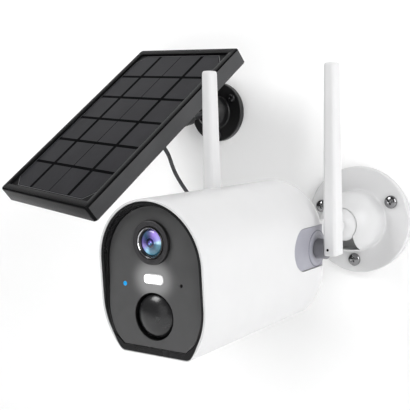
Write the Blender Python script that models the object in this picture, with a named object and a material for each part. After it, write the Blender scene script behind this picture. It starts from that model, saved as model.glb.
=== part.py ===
"""Solar-powered security camera: battery bullet camera on a ball-jointed wall arm, with a
separate tilting solar panel on its own wall arm and the lead that joins the two.

Frame: origin at the centre of the camera base's wall face, +Y into the wall, +Z up,
+X to the right of someone who looks at the wall. Dimensions below are millimetres and
are turned into metres as each mesh is made.
"""
import math
import bpy
import bmesh
from mathutils import Matrix, Vector, Euler

MM = 0.001

# ---------------------------------------------------------------- driving dimensions (mm)
# camera body outline, seen along the barrel: a round arch on a narrowing, flat-bottomed chin
HALF_W = 32.0            # half width, and radius of the arch
ARCH_Z = 6.73            # height of the arch's centre over the barrel axis
CHIN_Z = -12.5           # height where the straight sides end
CHIN_R = 37.37           # radius of the two chin arcs
CHIN_X = 5.37            # their centres lie this far across the middle
BOTTOM_Z = -39.3         # flat underside
CHIN_FILLET = 4.5
RIM_Y, RIM_LEAN = -251.53, -0.0472     # front rim plane: y = RIM_Y + RIM_LEAN z
FACE_Y, FACE_LEAN = -248.73, 0.0223    # fascia plane:   y = FACE_Y + FACE_LEAN z
REAR_Y = -119.7
REAR_R = 12.0            # rounding of the rear end
WALL_T, RIM_T = 2.2, 1.3
GAP = 0.3

LENS_Z = 16.98
PIR_Z = -19.67
LIGHT_Z = -1.2
STATUS_X, STATUS_Z = -18.0, -4.8
MIC_X, MIC_Z = 16.8, -2.9

HUB_Y, HUB_Z = -134.4, -0.3
ANTENNA_X = 41.6
ANTENNA_TOP = 106.0
ANTENNA_FOOT = -3.6

# camera wall base and ball
BASE_R, BASE_T = 39.3, 6.0
DOME_R, DOME_T = 22.0, 15.7
BASE_ROOT = 23.6         # radius of the fillet's foot round the dome
BALL_R, BALL_T = 12.2, 29.7
SEAT_R = 12.55           # the dome's inside above the cup
CUP_IN, CUP_OUT, CAVITY_R = 12.5, 13.7, 14.05
MOUTH_R = 12.0
LIP_R, LIP_T = 11.86, 33.8
SLOT_HALF, SLOT_Z, SLOT_T = 9.0, -19.5, 13.0
SCREW_CIRCLE = 29.8
SCREW_ANGLES = (28.5, 162.0, 266.0)

# panel
PANEL_W, PANEL_L, PANEL_T = 116.4, 168.0, 12.3
PANEL_CENTRE = (-145.19, -102.83, 78.51)     # middle of the panel's front face
PANEL_TILT, PANEL_ROLL, PANEL_YAW = 39.18, 3.92, -14.04
PIN_LOCAL = (-1.5, 10.0, -21.8)              # hinge pin, in the panel's own axes
PANEL_BASE_Z, PBALL_T = 82.6, 13.0
PBASE_R, PBASE_T = 24.0, 5.0
PDOME_R, PDOME_T = 13.0, 9.0
PBALL_R = 6.5
PCUP_IN, PCUP_OUT, PCAVITY_R = 6.8, 7.9, 8.2
PLIP_R, PLIP_T, PMOUTH_R = 6.25, 15.4, 8.54
PROOT = 14.2
PSCREW_CIRCLE = 19.0
PSCREW_ANGLES = (35.0, 155.0, 275.0)

# lead
LEAD_D = 3.0
COIL_C = (-96.0, -11.0, -40.0)
COIL_LAYERS, COIL_ROWS, COIL_MID_R = 4, 6, 17.25
PORT_Z = -19.2

# ---------------------------------------------------------------- start from nothing
for ob in list(bpy.data.objects):
    bpy.data.objects.remove(ob, do_unlink=True)

COLL = bpy.context.scene.collection
MATS = {}


def material(name, rgb, rough, metal=0.0):
    if name in MATS:
        return MATS[name]
    m = bpy.data.materials.new(name)
    m.use_nodes = True
    b = m.node_tree.nodes["Principled BSDF"]
    b.inputs["Base Color"].default_value = (*rgb, 1.0)
    b.inputs["Roughness"].default_value = rough
    b.inputs["Metallic"].default_value = metal
    m.diffuse_color = (*rgb, 1.0)
    MATS[name] = m
    return m


TO_Y = Matrix.Rotation(math.radians(-90), 4, "X")     # local z becomes +Y
TO_X = Matrix.Rotation(math.radians(90), 4, "Y")      # local z becomes +X


def at(x, y, z, turn=None):
    m = Matrix.Translation((x, y, z))
    return m @ turn if turn else m


def lathe(bm, profile, segs, mtx, closed=False):
    """Turn (radius, height) points about local z."""
    rings = []
    for r, t in profile:
        if r < 1e-6:
            rings.append([bm.verts.new(mtx @ Vector((0, 0, t)))])
        else:
            rings.append([bm.verts.new(mtx @ Vector((r * math.cos(2 * math.pi * i / segs),
                                                     r * math.sin(2 * math.pi * i / segs), t)))
                          for i in range(segs)])
    pairs = list(zip(rings, rings[1:]))
    if closed:
        pairs.append((rings[-1], rings[0]))
    for a, b in pairs:
        if len(a) == 1 and len(b) == 1:
            continue
        for i in range(segs):
            j = (i + 1) % segs
            if len(a) == 1:
                bm.faces.new((a[0], b[i], b[j]))
            elif len(b) == 1:
                bm.faces.new((a[i], a[j], b[0]))
            else:
                bm.faces.new((a[i], a[j], b[j], b[i]))


def loft(bm, rings, closed=False):
    """Join equal rings of points one after another, capped at both ends unless it closes."""
    rows = [[bm.verts.new(Vector(p)) for p in ring] for ring in rings]
    n = len(rows[0])
    pairs = list(zip(rows, rows[1:]))
    if closed:
        pairs.append((rows[-1], rows[0]))
    for a, b in pairs:
        for i in range(n):
            j = (i + 1) % n
            bm.faces.new((a[i], a[j], b[j], b[i]))
    if not closed:
        bm.faces.new(rows[0])
        bm.faces.new(rows[-1])


def box(bm, lo, hi, mtx=None):
    mtx = mtx or Matrix.Identity(4)
    loft(bm, [[mtx @ Vector(p) for p in ((lo[0], lo[1], z), (hi[0], lo[1], z),
                                         (hi[0], hi[1], z), (lo[0], hi[1], z))]
              for z in (lo[2], hi[2])])


def round_rect(w, h, r, n=4):
    """Points of a rectangle with round corners, middle at 0."""
    pts = []
    for k, (sx, sy) in enumerate(((1, -1), (1, 1), (-1, 1), (-1, -1))):
        for i in range(n + 1):
            t = math.radians(-90 + 90 * k + 90 * i / n)
            pts.append((sx * (w / 2 - r) + r * math.cos(t), sy * (h / 2 - r) + r * math.sin(t)))
    return pts


def make(name, bm, mat, pivot=None, parent=None, angle=32.0, guide=False):
    """Turn the millimetre bmesh into a named object, origin on its pivot."""
    bmesh.ops.remove_doubles(bm, verts=bm.verts, dist=1e-4)
    bmesh.ops.recalc_face_normals(bm, faces=bm.faces)
    piv = Vector(pivot) if pivot else Vector((0, 0, 0))
    for v in bm.verts:
        v.co = (v.co - piv) * MM
    me = bpy.data.meshes.new(name)
    bm.to_mesh(me)
    bm.free()
    me.shade_smooth()
    me.set_sharp_from_angle(angle=math.radians(angle))
    ob = bpy.data.objects.new(name, me)
    COLL.objects.link(ob)
    ob.location = piv * MM
    if mat:
        me.materials.append(mat)
    if parent:
        ob.parent = parent
    if guide:
        ob.hide_render = True
        ob.display_type = "WIRE"
    return ob


def cut(ob, cutter, how="DIFFERENCE"):
    m = ob.modifiers.new(cutter.name, "BOOLEAN")
    m.operation = how
    m.solver = "EXACT"
    m.object = cutter
    return m


def bevel(ob, width, segs=1, angle=40.0):
    m = ob.modifiers.new("Bevel", "BEVEL")
    m.width = width * MM
    m.segments = segs
    m.limit_method = "ANGLE"
    m.angle_limit = math.radians(angle)
    return m


def turned(name, profile, mat, mtx, segs=32, closed=False, **kw):
    bm = bmesh.new()
    lathe(bm, profile, segs, mtx, closed)
    return make(name, bm, mat, **kw)


def block(name, lo, hi, mat, mtx=None, **kw):
    bm = bmesh.new()
    box(bm, lo, hi, mtx)
    return make(name, bm, mat, **kw)


def empty(name, matrix, parent=None):
    e = bpy.data.objects.new(name, None)
    COLL.objects.link(e)
    e.parent = parent
    e.matrix_world = matrix
    return e


# ---------------------------------------------------------------- finishes
WHITE = material("white_plastic", (0.86, 0.86, 0.87), 0.38)
BLACK = material("black_plastic", (0.012, 0.012, 0.013), 0.35)
GREY = material("grey_fascia", (0.09, 0.09, 0.092), 0.42)
DARK = material("dark_bezel", (0.05, 0.048, 0.052), 0.45)
CHROME = material("chrome", (0.85, 0.85, 0.86), 0.12, 1.0)
LENS = material("lens_glass", (0.03, 0.03, 0.10), 0.05)
CLEAR = material("clear_window", (0.95, 0.95, 0.95), 0.15)
STATUS = material("status_light", (0.02, 0.45, 0.85), 0.3)
PIRM = material("pir_lens", (0.02, 0.02, 0.02), 0.2)
BOARD = material("circuit_board", (0.02, 0.16, 0.06), 0.5)
STEEL = material("steel", (0.6, 0.6, 0.6), 0.3, 1.0)
BRASS = material("brass", (0.75, 0.55, 0.25), 0.3, 1.0)
CELL = material("battery_wrap", (0.05, 0.22, 0.42), 0.4)
NYLON = material("nylon", (0.75, 0.74, 0.70), 0.5)
RUBBER = material("rubber", (0.75, 0.75, 0.76), 0.7)
LAVENDER = material("hub_plastic", (0.62, 0.62, 0.70), 0.45)
FRAME = material("panel_frame", (0.022, 0.022, 0.024), 0.4)
CELLS = material("solar_cells", (0.035, 0.035, 0.042), 0.25)
MOUNT = material("panel_mount", (0.015, 0.015, 0.016), 0.4)
LEAD = material("lead_jacket", (0.03, 0.03, 0.032), 0.5)


# ---------------------------------------------------------------- camera outline
def outline(d):
    """The body outline set in by d: (x, z) points, anticlockwise from the underside's middle."""
    fil = max(CHIN_FILLET - d, 0.8)
    r = CHIN_R - d
    zb = BOTTOM_Z + d
    cz = zb + fil
    cx = -CHIN_X + math.sqrt((r - fil) ** 2 - (cz - CHIN_Z) ** 2)
    join = math.atan2(cz - CHIN_Z, cx + CHIN_X)
    half = [(cx * k / 2, zb) for k in range(2)]
    for k in range(4):
        t = -math.pi / 2 + (join + math.pi / 2) * k / 3
        half.append((cx + fil * math.cos(t), cz + fil * math.sin(t)))
    for k in range(1, 7):
        t = join * (1 - k / 6)
        half.append((-CHIN_X + r * math.cos(t), CHIN_Z + r * math.sin(t)))
    half.append((HALF_W - d, ARCH_Z))
    for k in range(1, 11):
        t = math.pi / 2 * k / 10
        half.append(((HALF_W - d) * math.cos(t), ARCH_Z + (HALF_W - d) * math.sin(t)))
    half[-1] = (0.0, half[-1][1])
    return half + [(-x, z) for x, z in reversed(half[1:-1])]


def rim(z):
    return RIM_Y + RIM_LEAN * z


def face(z):
    return FACE_Y + FACE_LEAN * z


def ring(d, y):
    """One outline ring; y is a number or a function of height."""
    return [(x, y(z) if callable(y) else y, z) for x, z in outline(d)]


def hood_inset(z):
    """The hood's inner wall: 3.4 mm in at the arch, 2.4 mm at the chin."""
    k = min(max((z - BOTTOM_Z - 6) / 34, 0), 1)
    k = k * k * (3 - 2 * k)
    return 2.4 + 1.0 * k


def blend_ring(extra, y):
    """An outline ring whose inset follows the hood's inner wall."""
    a, b = outline(2.4 + extra), outline(3.4 + extra)
    pts = []
    for (xa, za), (xb, zb) in zip(a, b):
        k = hood_inset(za) - 2.4
        x, z = xa + (xb - xa) * k, za + (zb - za) * k
        pts.append((x, y(z) if callable(y) else y, z))
    return pts


# housing: one moulded shell, open at the front
bm = bmesh.new()
rings = [ring(RIM_T, lambda z: rim(z) + 0.3)]
rings += [ring(0.5, rim), ring(0.0, lambda z: rim(z) + 0.5), ring(0.0, REAR_Y - REAR_R)]
for k in range(1, 6):
    t = math.radians(90 * k / 5)
    rings.append(ring(REAR_R * (1 - math.cos(t)), REAR_Y - REAR_R + REAR_R * math.sin(t)))
outer = rings
inner = []
ri = REAR_R - WALL_T
for k in range(4, -1, -1):
    t = math.radians(90 * k / 4)
    inner.append(ring(WALL_T + ri * (1 - math.cos(t)), REAR_Y - REAR_R + ri * math.sin(t)))
inner += [ring(WALL_T, -238.0), ring(RIM_T, -239.0)]
rows = outer[::-1] + inner[::-1]
loft(bm, rows)
housing = make("housing_shell", bm, WHITE)

# openings in the shell
hole = turned("cut_rear_insert", [(0, -8), (6.8, -8), (6.8, 4), (0, 4)], None,
              at(0, REAR_Y, 0, TO_Y), guide=True)
cut(housing, hole)
bm = bmesh.new()
loft(bm, [[(x, y, z + PORT_Z) for x, z in round_rect(10.4, 5.4, 2.4)] for y in (REAR_Y - 8, REAR_Y + 3)])
cut(housing, make("cut_port", bm, None, guide=True))
bm = bmesh.new()
loft(bm, [[(x, y - 186.3, z) for x, y in round_rect(19.2, 35.2, 3.0)] for z in (BOTTOM_Z - 3, BOTTOM_Z + 5)])
cut(housing, make("cut_service", bm, None, guide=True))


def hub_outline(grow):
    """Side patch outline (y, z): round front end, straight rear end."""
    r = 12.0 + grow
    pts = [(-127.5 + grow, 1.0 - r), (-127.5 + grow, 1.0 + r)]
    for k in range(13):
        t = math.radians(90 + 180 * k / 12)
        pts.append((-151.0 + r * math.cos(t), 1.0 + r * math.sin(t)))
    return pts


for s, side in ((-1, "left"), (1, "right")):
    bm = bmesh.new()
    loft(bm, [[(s * x, y, z) for y, z in hub_outline(0.3)] for x in (26.0, 36.0)])
    cut(housing, make("cut_hub_" + side, bm, None, guide=True))
    bm = bmesh.new()
    loft(bm, [[(s * x, y, z) for y, z in hub_outline(0.0)] for x in (29.4, 31.2)])
    plate = make("hub_plate_" + side, bm, LAVENDER)
    cut(plate, turned("cut_hub_pin_" + side, [(0, 20), (2.4, 20), (2.4, 40), (0, 40)], None,
                      at(0, HUB_Y, HUB_Z, Matrix.Rotation(math.radians(90 * s), 4, "Y")),
                      segs=20, guide=True))

# hood lining the front rim
bm = bmesh.new()
loft(bm, [ring(1.6, lambda z: rim(z) + 0.25), ring(1.6, -239.4), blend_ring(0.0, -239.4),
          blend_ring(0.0, lambda z: rim(z) + 0.25)], closed=True)
make("front_hood", bm, BLACK)

# fascia plate with a bevelled chin
bm = bmesh.new()
front = []
for x, y, z in blend_ring(0.3, face):
    zz = max(z, BOTTOM_Z + 2.7 + 3.0)
    front.append((x * (0.985 if zz > z + 0.01 else 1.0), face(zz), zz))
loft(bm, [front, blend_ring(0.3, lambda z: face(z) + 1.5), blend_ring(0.3, lambda z: face(z) + 2.6)])
fascia = make("fascia", bm, GREY)


def front_cut(name, r, x, z, segs=36):
    return turned(name, [(0, -8), (r, -8), (r, 8), (0, 8)], None, at(x, face(z), z, TO_Y),
                  segs=segs, guide=True)


cut(fascia, front_cut("cut_lens", 8.6, 0, LENS_Z))
cut(fascia, front_cut("cut_pir", 11.9, 0, PIR_Z, 40))
cut(fascia, front_cut("cut_status", 1.3, STATUS_X, STATUS_Z, 16))
cut(fascia, front_cut("cut_mic", 0.7, MIC_X, MIC_Z, 12))
bm = bmesh.new()
loft(bm, [[(x, y, z + LIGHT_Z) for x, z in round_rect(12.4, 5.4, 2.2)] for y in (face(0) - 8, face(0) + 8)])
cut(fascia, make("cut_light", bm, None, guide=True))

# lens group
ly = face(LENS_Z)
turned("lens_bezel", [(8.1, ly - 0.6), (11.1, ly - 0.6), (10.6, ly - 2.2), (8.1, ly - 2.2)], DARK,
       at(0, 0, LENS_Z, TO_Y), segs=32, closed=True)
turned("lens_trim_ring", [(7.0, ly + 1.4), (7.8, ly + 1.4), (7.8, ly - 2.2), (7.4, ly - 2.6), (7.0, ly - 2.2)],
       CHROME, at(0, 0, LENS_Z, TO_Y), segs=28, closed=True)
prof = [(0, ly + 2.6), (6.7, ly + 2.6), (6.7, ly - 0.2)]
for k in range(1, 6):
    t = math.radians(90 * k / 5)
    prof.append((6.7 * math.cos(t), ly - 0.2 - 1.8 * math.sin(t)))
prof[-1] = (0, prof[-1][1])
turned("lens_glass", prof, LENS, at(0, 0, LENS_Z, TO_Y), segs=24)
turned("lens_barrel", [(0, ly + 20), (6.0, ly + 20), (6.0, ly + 12), (8.2, ly + 12), (8.2, ly + 1.9),
                       (7.1, ly + 1.9), (7.1, ly + 3.0), (0, ly + 3.0)], BLACK,
       at(0, 0, LENS_Z, TO_Y), segs=24)
block("sensor_board", (-13, ly + 20.4, LENS_Z - 12), (13, ly + 22.0, LENS_Z + 12), BOARD)

# spot light, status light, microphone
bm = bmesh.new()
loft(bm, [[(x, y, z + LIGHT_Z) for x, z in round_rect(11.8, 4.8, 1.9)] for y in (face(0) - 0.2, face(0) + 2.3)])
make("light_window", bm, CLEAR)
bm = bmesh.new()
box(bm, (-9, face(0) + 4.4, LIGHT_Z - 4), (9, face(0) + 5.6, LIGHT_Z + 4))
lights = make("light_board", bm, BOARD)
bm = bmesh.new()
box(bm, (-4.4, face(0) + 3.0, LIGHT_Z - 1.7), (-1.0, face(0) + 5.0, LIGHT_Z + 1.7))
cut(lights, make("add_emitter_left", bm, None, guide=True), "UNION")
bm = bmesh.new()
box(bm, (1.0, face(0) + 3.0, LIGHT_Z - 1.7), (4.4, face(0) + 5.0, LIGHT_Z + 1.7))
cut(lights, make("add_emitter_right", bm, None, guide=True), "UNION")
turned("status_light_pipe", [(0, -0.1), (0.95, -0.1), (0.95, 7.5), (0, 7.5)], STATUS,
       at(STATUS_X, face(STATUS_Z), STATUS_Z, TO_Y), segs=16)
turned("microphone", [(0, 3.1), (2.2, 3.1), (2.2, 5.2), (0, 5.2)], BLACK,
       at(MIC_X, face(MIC_Z), MIC_Z, TO_Y), segs=16)

# movement sensor: thin domed lens over a metal can
py = face(PIR_Z)
prof = []
for k in range(6):
    t = math.radians(90 * (1 - k / 5))
    prof.append((11.4 * math.cos(t), py + 3.4 - 5.2 * math.sin(t)))
prof[0] = (0, prof[0][1])
prof += [(11.4, py + 4.6), (10.4, py + 4.6)]
for k in range(1, 5):
    t = math.radians(90 * k / 4)
    prof.append((10.4 * math.cos(t), py + 4.0 - 4.8 * math.sin(t)))
prof[-1] = (0, prof[-1][1])
turned("pir_dome", prof, PIRM, at(0, 0, PIR_Z, TO_Y), segs=24)
turned("pir_sensor", [(0, 6.0), (4.0, 6.0), (4.0, 10.0), (4.7, 10.0), (4.7, 10.8), (0, 10.8)], STEEL,
       at(0, py, PIR_Z, TO_Y), segs=20)

# boards, cells, speaker inside the shell
block("main_board", (-20, -225, -17.6), (20, -150, -16.0), BOARD)
for s, side in ((-1, "left"), (1, "right")):
    turned("battery_cell_" + side, [(0, -214), (4.0, -214), (4.0, -212.8), (8.8, -212.8), (9.2, -212.3),
                                    (9.2, -149.2), (0, -149.2)], CELL,
           at(s * 9.8, 0, -4.4, TO_Y), segs=20)
trough = [(-21.0, -15.4), (21.0, -15.4), (21.0, -9.0), (19.0, -9.0)]
for s in (1, -1):
    for k in range(9):
        a = math.radians((-28 - 124 * k / 8))
        trough.append((s * 9.8 + 9.7 * math.cos(a), -4.4 + 9.7 * math.sin(a)))
    if s == 1:
        trough.append((0.6, -9.0))
        trough.append((-0.6, -9.0))
trough += [(-19.0, -9.0), (-21.0, -9.0)]
bm = bmesh.new()
loft(bm, [[(x, y, z) for x, z in trough] for y in (-208.0, -155.0)])
make("battery_cradle", bm, BLACK, angle=20)
turned("speaker", [(0, -34.5), (9.0, -34.5), (9.0, -33.0), (7.0, -29.5), (0, -29.5)], BLACK,
       at(0, -216, 0), segs=24)

# charging socket in the rear wall
bm = bmesh.new()
sock_o = [[(x, y, z + PORT_Z) for x, z in round_rect(9.8, 4.8, 2.2)] for y in (-133.0, -121.0)]
sock_i = [[(x, y, z + PORT_Z) for x, z in round_rect(8.9, 3.4, 1.6)] for y in (-121.0, -130.5)]
loft(bm, sock_o + sock_i)
make("charge_port", bm, STEEL)

# underside: service cover on its own hinge, and the sprung power button behind it
COVER_HINGE = (-8.4, -186.3, -39.2)
bm = bmesh.new()
loft(bm, [[(x, y - 186.3, z) for x, y in round_rect(18.0 - 2 * i, 34.4 - 2 * i, 2.6 - i * 0.6)]
          for z, i in ((-38.1, 0.0), (-39.5, 0.0), (-39.9, 0.5))])
make("service_cover", bm, RUBBER, pivot=COVER_HINGE)
turned("power_button", [(0, -37.6), (2.6, -37.6), (2.6, -33.6), (1.2, -33.0), (1.2, -19.0), (0, -19.0)],
       BLACK, at(0, -180.0, 0), segs=20, pivot=(0, -180.0, -35.0))

# antennas, each on a hub pin through the side wall
for s, side in ((-1, "left"), (1, "right")):
    def blade(z, wx, wy, r):
        return [(s * ANTENNA_X + x, HUB_Y + y, z) for x, y in round_rect(wx, wy, r, 2)]
    bm = bmesh.new()
    loft(bm, [blade(ANTENNA_FOOT, 7.0, 10.4, 1.6), blade(ANTENNA_FOOT + 0.6, 8.0, 11.4, 2.0),
              blade(12.0, 8.0, 11.4, 2.2), blade(ANTENNA_TOP - 1.6, 6.6, 9.6, 2.2),
              blade(ANTENNA_TOP - 0.4, 5.6, 8.6, 1.8), blade(ANTENNA_TOP, 4.0, 7.0, 1.4)])
    ant = make("antenna_" + side, bm, WHITE, pivot=(s * ANTENNA_X, HUB_Y, HUB_Z))
    hub = turned("add_hub_" + side, [(0, 31.7), (6.2, 31.7), (6.2, 40.0), (0, 40.0)], None,
                 at(0, HUB_Y, HUB_Z, Matrix.Rotation(math.radians(90 * s), 4, "Y")), segs=28, guide=True)
    cut(ant, hub, "UNION")
    turned("antenna_pin_" + side, [(0, 24.0), (4.0, 24.0), (4.0, 25.6), (2.0, 25.6), (2.0, 31.4), (0, 31.4)],
           STEEL, at(0, HUB_Y, HUB_Z, Matrix.Rotation(math.radians(90 * s), 4, "Y")), segs=20,
           pivot=(s * 28.0, HUB_Y, HUB_Z))

# ---------------------------------------------------------------- camera wall mount
AWAY = Matrix.Rotation(math.radians(90), 4, "X")      # local z becomes -Y, away from the wall


def socket_profile(base_r, base_t, dome_r, dome_t, mouth_r, lip_r, lip_t, ball_t, cav_r, root_r, seat_r=None, n=5):
    """Half section of a wall base with its dome, mouth and round socket."""
    prof = [(0, 0), (base_r, 0), (base_r, base_t - 1.0), (base_r - 1.0, base_t)]
    foot = root_r - dome_r
    prof += [(root_r, base_t), (dome_r + 0.3 * foot, base_t + 0.3 * foot), (dome_r, base_t + foot)]
    a1 = math.acos(mouth_r / dome_r)
    for k in range(n + 1):
        a = a1 * k / n
        prof.append((dome_r * math.cos(a), dome_t + dome_r * math.sin(a)))
    prof.append((lip_r, lip_t))
    s0 = math.asin((lip_t - 0.9 - ball_t) / cav_r)
    if seat_r:
        for a in (0.22, 0.11, 0.0):
            prof.append((seat_r * math.cos(a), ball_t + seat_r * math.sin(a)))
        prof.append((seat_r, ball_t - 2.2))
        s0 = math.asin(-2.2 / cav_r)
    for k in range(n + 1):
        a = s0 + (-math.pi / 2 - s0) * k / n
        prof.append((cav_r * math.cos(a), ball_t + cav_r * math.sin(a)))
    prof[-1] = (0, prof[-1][1])
    return prof


def bowl(r_in, r_out, t, reach, n=4):
    """Half section of a round cup about a ball centred at height t, opening away from the wall."""
    out, inn = [], []
    for k in range(n + 1):
        a = math.radians(-90 + reach * k / n)
        out.append((r_out * math.cos(a), t + r_out * math.sin(a)))
        inn.append((r_in * math.cos(a), t + r_in * math.sin(a)))
    out[0], inn[0] = (0, out[0][1]), (0, inn[0][1])
    return out + inn[::-1]


def stud_profile(ball_r, neck_r, far, n=7):
    """Ball at height 0 with its neck running out to height far."""
    prof = [(0, -ball_r)]
    end = math.asin(math.sqrt(ball_r ** 2 - neck_r ** 2) / ball_r)
    for k in range(1, n + 1):
        a = -math.pi / 2 + (end + math.pi / 2) * k / n
        prof.append((ball_r * math.cos(a), ball_r * math.sin(a)))
    return prof + [(neck_r, far), (0, far)]


base = turned("camera_base", socket_profile(BASE_R, BASE_T, DOME_R, DOME_T, MOUTH_R, LIP_R, LIP_T,
                                            BALL_T, CAVITY_R, BASE_ROOT, SEAT_R), WHITE, AWAY, segs=40)
slot = block("cut_base_slot", (-SLOT_HALF, -50, SLOT_Z), (SLOT_HALF, -SLOT_T, 0), None, guide=True)
cut(base, slot)
for n, deg in enumerate(SCREW_ANGLES, 1):
    x, z = SCREW_CIRCLE * math.cos(math.radians(deg)), SCREW_CIRCLE * math.sin(math.radians(deg))
    cut(base, turned("cut_base_screw_%d" % n, [(0, -2), (2.4, -2), (2.4, 12), (0, 12)], None,
                     at(x, 0, z, AWAY), segs=16, guide=True))
    turned("camera_base_screw_%d" % n, [(0, 0.4), (2.0, 0.4), (2.0, 6.3), (4.7, 6.3), (4.5, 7.4), (3.0, 8.6),
                                        (0, 9.0)], STEEL, at(x, 0, z, AWAY), segs=24)
turned("camera_cup", bowl(CUP_IN, CUP_OUT, BALL_T, 57), NYLON, AWAY, segs=28, pivot=(0, -BALL_T, 0))
turned("camera_ball_stud", stud_profile(BALL_R, 3.2, 27.3), WHITE, at(0, -BALL_T, 0, AWAY), segs=32,
       pivot=(0, -BALL_T, 0))
turned("camera_arm", [(0, 58), (3.6, 58), (3.6, 42.3), (6.2, 41.3), (6.8, 44.5), (8.2, 112.0), (12.0, 115.4),
                      (12.4, 116.2), (12.4, 118.4), (12.0, 118.9), (3.2, 118.9), (3.2, 127), (0, 127)],
       WHITE, AWAY, segs=24, pivot=(0, -BALL_T, 0))
knurl = []
for k in range(36):
    t = 2 * math.pi * k / 36
    r = 12.6 if k % 2 else 12.0
    knurl.append((r * math.cos(t), r * math.sin(t)))
bm = bmesh.new()
loft(bm, [[(x, -110.5, z) for x, z in knurl], [(x, -104.0, z) for x, z in knurl],
          [(8.8 / math.hypot(x, z) * x, -104.0, 8.8 / math.hypot(x, z) * z) for x, z in knurl],
          [(8.8 / math.hypot(x, z) * x, -110.5, 8.8 / math.hypot(x, z) * z) for x, z in knurl]], closed=True)
make("camera_lock_ring", bm, WHITE, pivot=(0, -107.0, 0), angle=15)
turned("threaded_insert", [(3.6, 119.6), (6.4, 119.6), (6.4, 129.5), (3.6, 129.5)], BRASS, AWAY, segs=24,
       closed=True)

# ---------------------------------------------------------------- solar panel and its arm
turn = Euler((math.radians(PANEL_TILT), math.radians(PANEL_ROLL), math.radians(PANEL_YAW)), "XYZ").to_matrix()
panel_mtx = Matrix.Translation(Vector(PANEL_CENTRE)) @ turn.to_4x4()
pin = panel_mtx @ Vector(PIN_LOCAL)
across = turn.col[0].normalized()
# the wall ball stands where the arm meets the hinge pin squarely
rise = Vector((0, -PBALL_T - pin.y, PANEL_BASE_Z - pin.z))
ball_x = pin.x - (rise.y * across.y + rise.z * across.z) / across.x
pball = Vector((ball_x, -PBALL_T, PANEL_BASE_Z))
back = (pball - pin).normalized()
up = across.cross(back).normalized()
arm_mtx = Matrix.Translation(pball) @ Matrix((across, back, up)).transposed().to_4x4()
ARM_LEN = (pball - pin).length

scale = Matrix.Diagonal((1, 1, 1, 1))


def metres(m):
    out = m.copy()
    out.translation = m.translation * MM
    return out


panel_axis = empty("panel_axis", metres(panel_mtx @ Matrix.Translation(Vector(PIN_LOCAL))))
arm_axis = empty("panel_arm_axis", metres(arm_mtx))
PIN = Vector(PIN_LOCAL)


def panel_ring(d, z, r=3.0):
    """A rectangle ring of the panel, set in by d, in the pin's own axes."""
    return [Vector((x, y, z)) - PIN for x, y in round_rect(PANEL_W - 2 * d, PANEL_L - 2 * d, max(r - d, 0.6), 4)]


def on_panel(name, bm, mat, **kw):
    return make(name, bm, mat, parent=panel_axis, **kw)


bm = bmesh.new()
loft(bm, [panel_ring(6.0, 0), panel_ring(0.7, 0), panel_ring(0, -0.7), panel_ring(0, -11.8), panel_ring(0.5, -12.3),
          panel_ring(2.2, -12.3), panel_ring(2.2, -5.2), panel_ring(8.0, -5.2), panel_ring(8.0, -3.7),
          panel_ring(6.0, -3.7)], closed=True)
on_panel("panel_frame", bm, FRAME)
bm = bmesh.new()
loft(bm, [panel_ring(6.3, -1.2), panel_ring(6.3, -3.4)])
on_panel("panel_laminate", bm, CELLS)
bm = bmesh.new()
loft(bm, [panel_ring(2.5, -10.2), panel_ring(2.5, -12.2)])
on_panel("panel_back_cover", bm, FRAME)
# junction box beside the bracket, its gland pointing straight off the panel's back
GLAND = (19.0, 9.0)
bm = bmesh.new()
loft(bm, [[Vector((x + 26.0, y + 4.0, z)) - PIN for x, y in round_rect(31.0 - 2 * i, 38.0 - 2 * i, 3.0)]
          for z, i in ((-12.6, 0.0), (-19.4, 0.0), (-20.6, 1.2))])
on_panel("junction_box", bm, FRAME)
bm = bmesh.new()
g = Matrix.Translation(Vector((GLAND[0], GLAND[1], 0)) - PIN) @ Matrix.Rotation(math.pi, 4, "X")
lathe(bm, [(0, 20.9), (3.6, 20.9), (3.6, 24.4), (3.0, 25.2), (2.6, 29.0), (2.1, 33.0), (2.0, 34.4), (0, 34.4)], 20, g)
on_panel("lead_gland", bm, LEAD)
# bracket: plate on the back and an eye round the pin
bm = bmesh.new()
loft(bm, [[Vector((x - 1.5, y + 10.0, z)) - PIN for x, y in round_rect(15.0, 46.0, 4.0)] for z in (-12.6, -15.2)])
bracket = on_panel("panel_bracket", bm, MOUNT)
bm = bmesh.new()
eye = []
for k in range(13):
    t = math.radians(180 + 180 * k / 12)
    eye.append((5.6 * math.cos(t), 5.6 * math.sin(t)))
eye += [(5.6, 7.4), (-5.6, 7.4)]
loft(bm, [[Vector((x, y, z)) for y, z in eye] for x in (-3.9, 3.9)])
cut(bracket, make("add_eye", bm, None, parent=panel_axis, guide=True), "UNION")
cut(bracket, turned("cut_eye", [(0, -10), (2.3, -10), (2.3, 10), (0, 10)], None, TO_X, segs=20,
                    parent=panel_axis, guide=True))

# arm: tube with a two-cheek fork
bm = bmesh.new()
lathe(bm, [(0, 28.0), (3.0, 28.0), (3.0, 20.5), (4.6, 20.5), (5.4, 21.4), (5.6, ARM_LEN - 13.0), (4.2, ARM_LEN - 8.6),
           (0, ARM_LEN - 8.6)], 24, AWAY)
arm = make("panel_arm", bm, MOUNT, parent=arm_axis)
for s, side in ((-1, "left"), (1, "right")):
    cheek = [(-ARM_LEN + 14.0, -5.2), (-ARM_LEN + 14.0, 5.2)]
    for k in range(13):
        t = math.radians(90 + 180 * k / 12)
        cheek.append((-ARM_LEN + 5.2 * math.cos(t), 5.2 * math.sin(t)))
    bm = bmesh.new()
    loft(bm, [[(s * x, y, z) for y, z in cheek] for x in (4.3, 7.4)])
    cut(arm, make("add_cheek_" + side, bm, None, parent=arm_axis, guide=True), "UNION")
bm = bmesh.new()
box(bm, (-7.4, -ARM_LEN + 7.4, -5.2), (7.4, -ARM_LEN + 13.5, 5.2))
cut(arm, make("add_yoke", bm, None, parent=arm_axis, guide=True), "UNION")
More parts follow.
